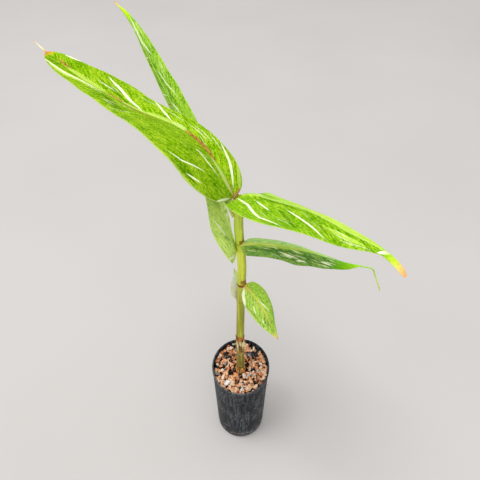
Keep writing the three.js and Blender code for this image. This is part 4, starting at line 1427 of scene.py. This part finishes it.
def mix_material():
    """Coconut chips from dark to pale by their tone, with grey and black bits between them."""
    g = Graph("coconut_chip", CHIP_SPECULAR)
    place = g.place()
    fibres = g.noise(place, (1500, 500, 900), 4.0, 0.7)
    patches = g.noise(place, (420, 420, 420), 3.0, 0.6)
    tone = g.plus(g.attribute("tone"), g.wander(patches, 0.6))
    brown, _ = g.ramp(tone, CHIP_BROWNS)
    grey, _ = g.ramp(tone, CHIP_GREYS)
    colour = g.mix(g.attribute("grey"), brown, grey)
    g.colour(g.mix(g.between(fibres, 0.5, 0.66), colour, g.mix(0.75, colour, CHIP_FIBRE)))
    g.roughness(fibres, 0.1, 0.82)
    g.bump(fibres, 0.8, 0.7)
    return g.material


def make_bed(material):
    """The solid bed that fills the pot under the loose chips, darkened as painted shade for the gaps between
    them.
    """
    inner = mix_radius(MIX_LEVEL)
    angles = np.linspace(0, 2 * math.pi, BED_SIDES, endpoint=False)
    rings = [(4.9, 66.0, 0.0), (16.0, 3.0, 0.0), (POT_FLAT_RADIUS - 0.6, 1.7, 0.0)]
    for z in np.linspace(5.1, MIX_LEVEL - MIX_CROWN - 1.6, 10):
        rings.append((mix_radius(z), z, 0.0))
    for share in np.linspace(1, 0, BED_ROWS):
        radius = CANE_ROOM + (inner - 0.4 - CANE_ROOM) * share
        level = MIX_LEVEL - 1.8 - MIX_CROWN * max(0, share - 0.6) / 0.4
        rings.append((radius, level, 1.0))
    points = []
    for radius, z, rough in rings:
        bumps = 0.5 * np.sin(5 * angles + radius) + 0.5 * np.sin(9 * angles - 1.7 * radius)
        bumps += 0.4 * np.sin(17 * angles + 2.3 * radius)
        points.append(turned_ring(radius, angles, z + rough * 0.6 * bumps))
    bed = Shape()
    faces = looped_faces(len(points), BED_SIDES)
    # A near-black tone: painted shade for the dark gaps that show between the chips
    bed.add(sag(np.array(points).reshape(-1, 3)), faces, tone=0.05, grey=0.0)
    make_piece("mix_bed", bed, material, ("growing_mix",))


def make_chips(rng, material):
    """Loose chips in layers over the bed, and the marked ones on top."""
    inner = mix_radius(MIX_LEVEL)
    block, block_faces = chip_block()
    chips = Shape()
    for k in range(CHIP_COUNT):
        size = [rng.uniform(*span) for span in (CHIP_LENGTH, CHIP_WIDTH, CHIP_THICKNESS)]
        layer = k / CHIP_COUNT
        share = math.sqrt(rng.random())
        turn = rng.uniform(0, 2 * math.pi)
        radius = CANE_ROOM + 1 + (inner - CANE_ROOM - 1.6) * share
        level = MIX_LEVEL - 2.6 + 3.0 * layer - MIX_CROWN * max(0, share - 0.6) / 0.4
        level += CHIPS_BACK_RISE * max(0, 0.2 + 0.8 * math.sin(turn)) * share**2
        size = [part * (1.1 - 0.35 * layer) for part in size]
        lean = 0.5 * (1 - 0.4 * layer)
        about = (rng.uniform(-lean, lean), rng.uniform(-lean, lean), rng.uniform(0, 2 * math.pi))
        points = rough_chip(block, rng, size) @ turn_matrix(*about).T
        points += np.array([radius * math.cos(turn), radius * math.sin(turn), level])
        drawn = rng.random()
        tone = 0.3 * rng.random() if drawn < DARK_CHIPS else rng.uniform(0.36, 0.86)
        grey = 1.0 if drawn < GREY_CHIPS[0] or drawn > GREY_CHIPS[1] else 0.0
        chips.add(sag(keep_in_pot(points)), block_faces, tone=tone, grey=grey)
    for place, size, turn, tone, grey in MARKED_CHIPS:
        points = rough_chip(block, rng, size) @ turn_matrix(0.15, -0.1, turn).T + np.array(place)
        chips.add(sag(keep_in_pot(points)), block_faces, tone=tone, grey=grey)
    make_piece("mix_chips", chips, material, ("growing_mix",))


def make_fibres(rng, material):
    """Curled fibres on the chips, and one that hangs over the rim."""
    inner = mix_radius(MIX_LEVEL)
    fibres = Shape()
    for _ in range(FIBRE_COUNT):
        radius = rng.uniform(CANE_ROOM + 2, inner - 2)
        turn = rng.uniform(0, 2 * math.pi)
        heading = rng.uniform(0, 2 * math.pi)
        bend = rng.uniform(-0.22, 0.22)
        length = rng.uniform(4, 11)
        level = MIX_LEVEL + rng.uniform(0.4, 1.6)
        point = np.array([radius * math.cos(turn), radius * math.sin(turn), level])
        path = []
        for step in range(FIBRE_STEPS + 1):
            path.append(point.copy())
            way = heading + bend * step
            arc = 0.35 * math.cos(math.pi * step / FIBRE_STEPS)
            point = point + np.array([math.cos(way), math.sin(way), arc]) * length / FIBRE_STEPS
        thickness = rng.uniform(0.1, 0.2) * np.sin(np.linspace(0.4, 2.8, FIBRE_STEPS + 1))
        points, faces = tube(keep_in_pot(path), thickness, 6)
        fibres.add(sag(points), faces, tone=rng.choice((0.1, 0.3, 0.6, 0.9)), grey=0.0)
    points, faces = tube(smooth_path(OVER_RIM, 16), np.linspace(0.5, 0.15, 16), 8)
    fibres.add(points, faces, tone=0.24, grey=0.0)
    make_piece("mix_fibres", fibres, material, ("growing_mix",))


def make_mix():
    rng = random.Random(MIX_SEED)
    material = mix_material()
    make_bed(material)
    make_chips(rng, material)
    make_fibres(rng, material)


# Stage


def make_floor():
    mesh = bpy.data.meshes.new("floor")
    mesh.from_pydata(FLOOR_CORNERS, [], [(0, 1, 2, 3)])
    g = Graph("pale_floor")
    clouds = g.noise(g.place(), (3, 3, 3), 2.0, 0.5)
    colour, _ = g.ramp(clouds, FLOOR_TONES)
    g.colour(colour)
    g.roughness(clouds, 0.1, 0.8)
    mesh.materials.append(g.material)
    new_object("floor", mesh)


def make_light(name, place, target, size, power):
    data = bpy.data.lights.new(name, "AREA")
    data.shape = "DISK"
    data.size = size
    data.energy = power
    lamp = new_object(name, data)
    lamp.location = place
    way = np.array(target) - np.array(place)
    flat = math.hypot(way[0], way[1])
    lamp.rotation_euler = (math.atan2(flat, -way[2]), 0, math.atan2(-way[0], way[1]))


def make_stage():
    make_floor()
    for lamp in LAMPS:
        make_light(*lamp)
    world = bpy.data.worlds.new("studio")
    world.use_nodes = True
    background = world.node_tree.nodes["Background"]
    background.inputs["Color"].default_value = SKY_COLOUR
    background.inputs["Strength"].default_value = SKY_STRENGTH
    scene = bpy.context.scene
    scene.world = world
    scene.view_settings.view_transform = "Standard"
    data = bpy.data.cameras.new("camera")
    data.lens = CAMERA_LENS
    data.sensor_width = CAMERA_SENSOR
    data.clip_start, data.clip_end = CAMERA_CLIP
    camera = new_object("camera", data)
    camera.location = tuple(part * MM for part in CAMERA_PLACE)
    camera.rotation_euler = (math.radians(CAMERA_TILT), 0, 0)
    scene.camera = camera


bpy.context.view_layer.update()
make_leaves()
make_cane()
make_rootstock()
make_scales()
make_pot()
make_mix()
make_stage()
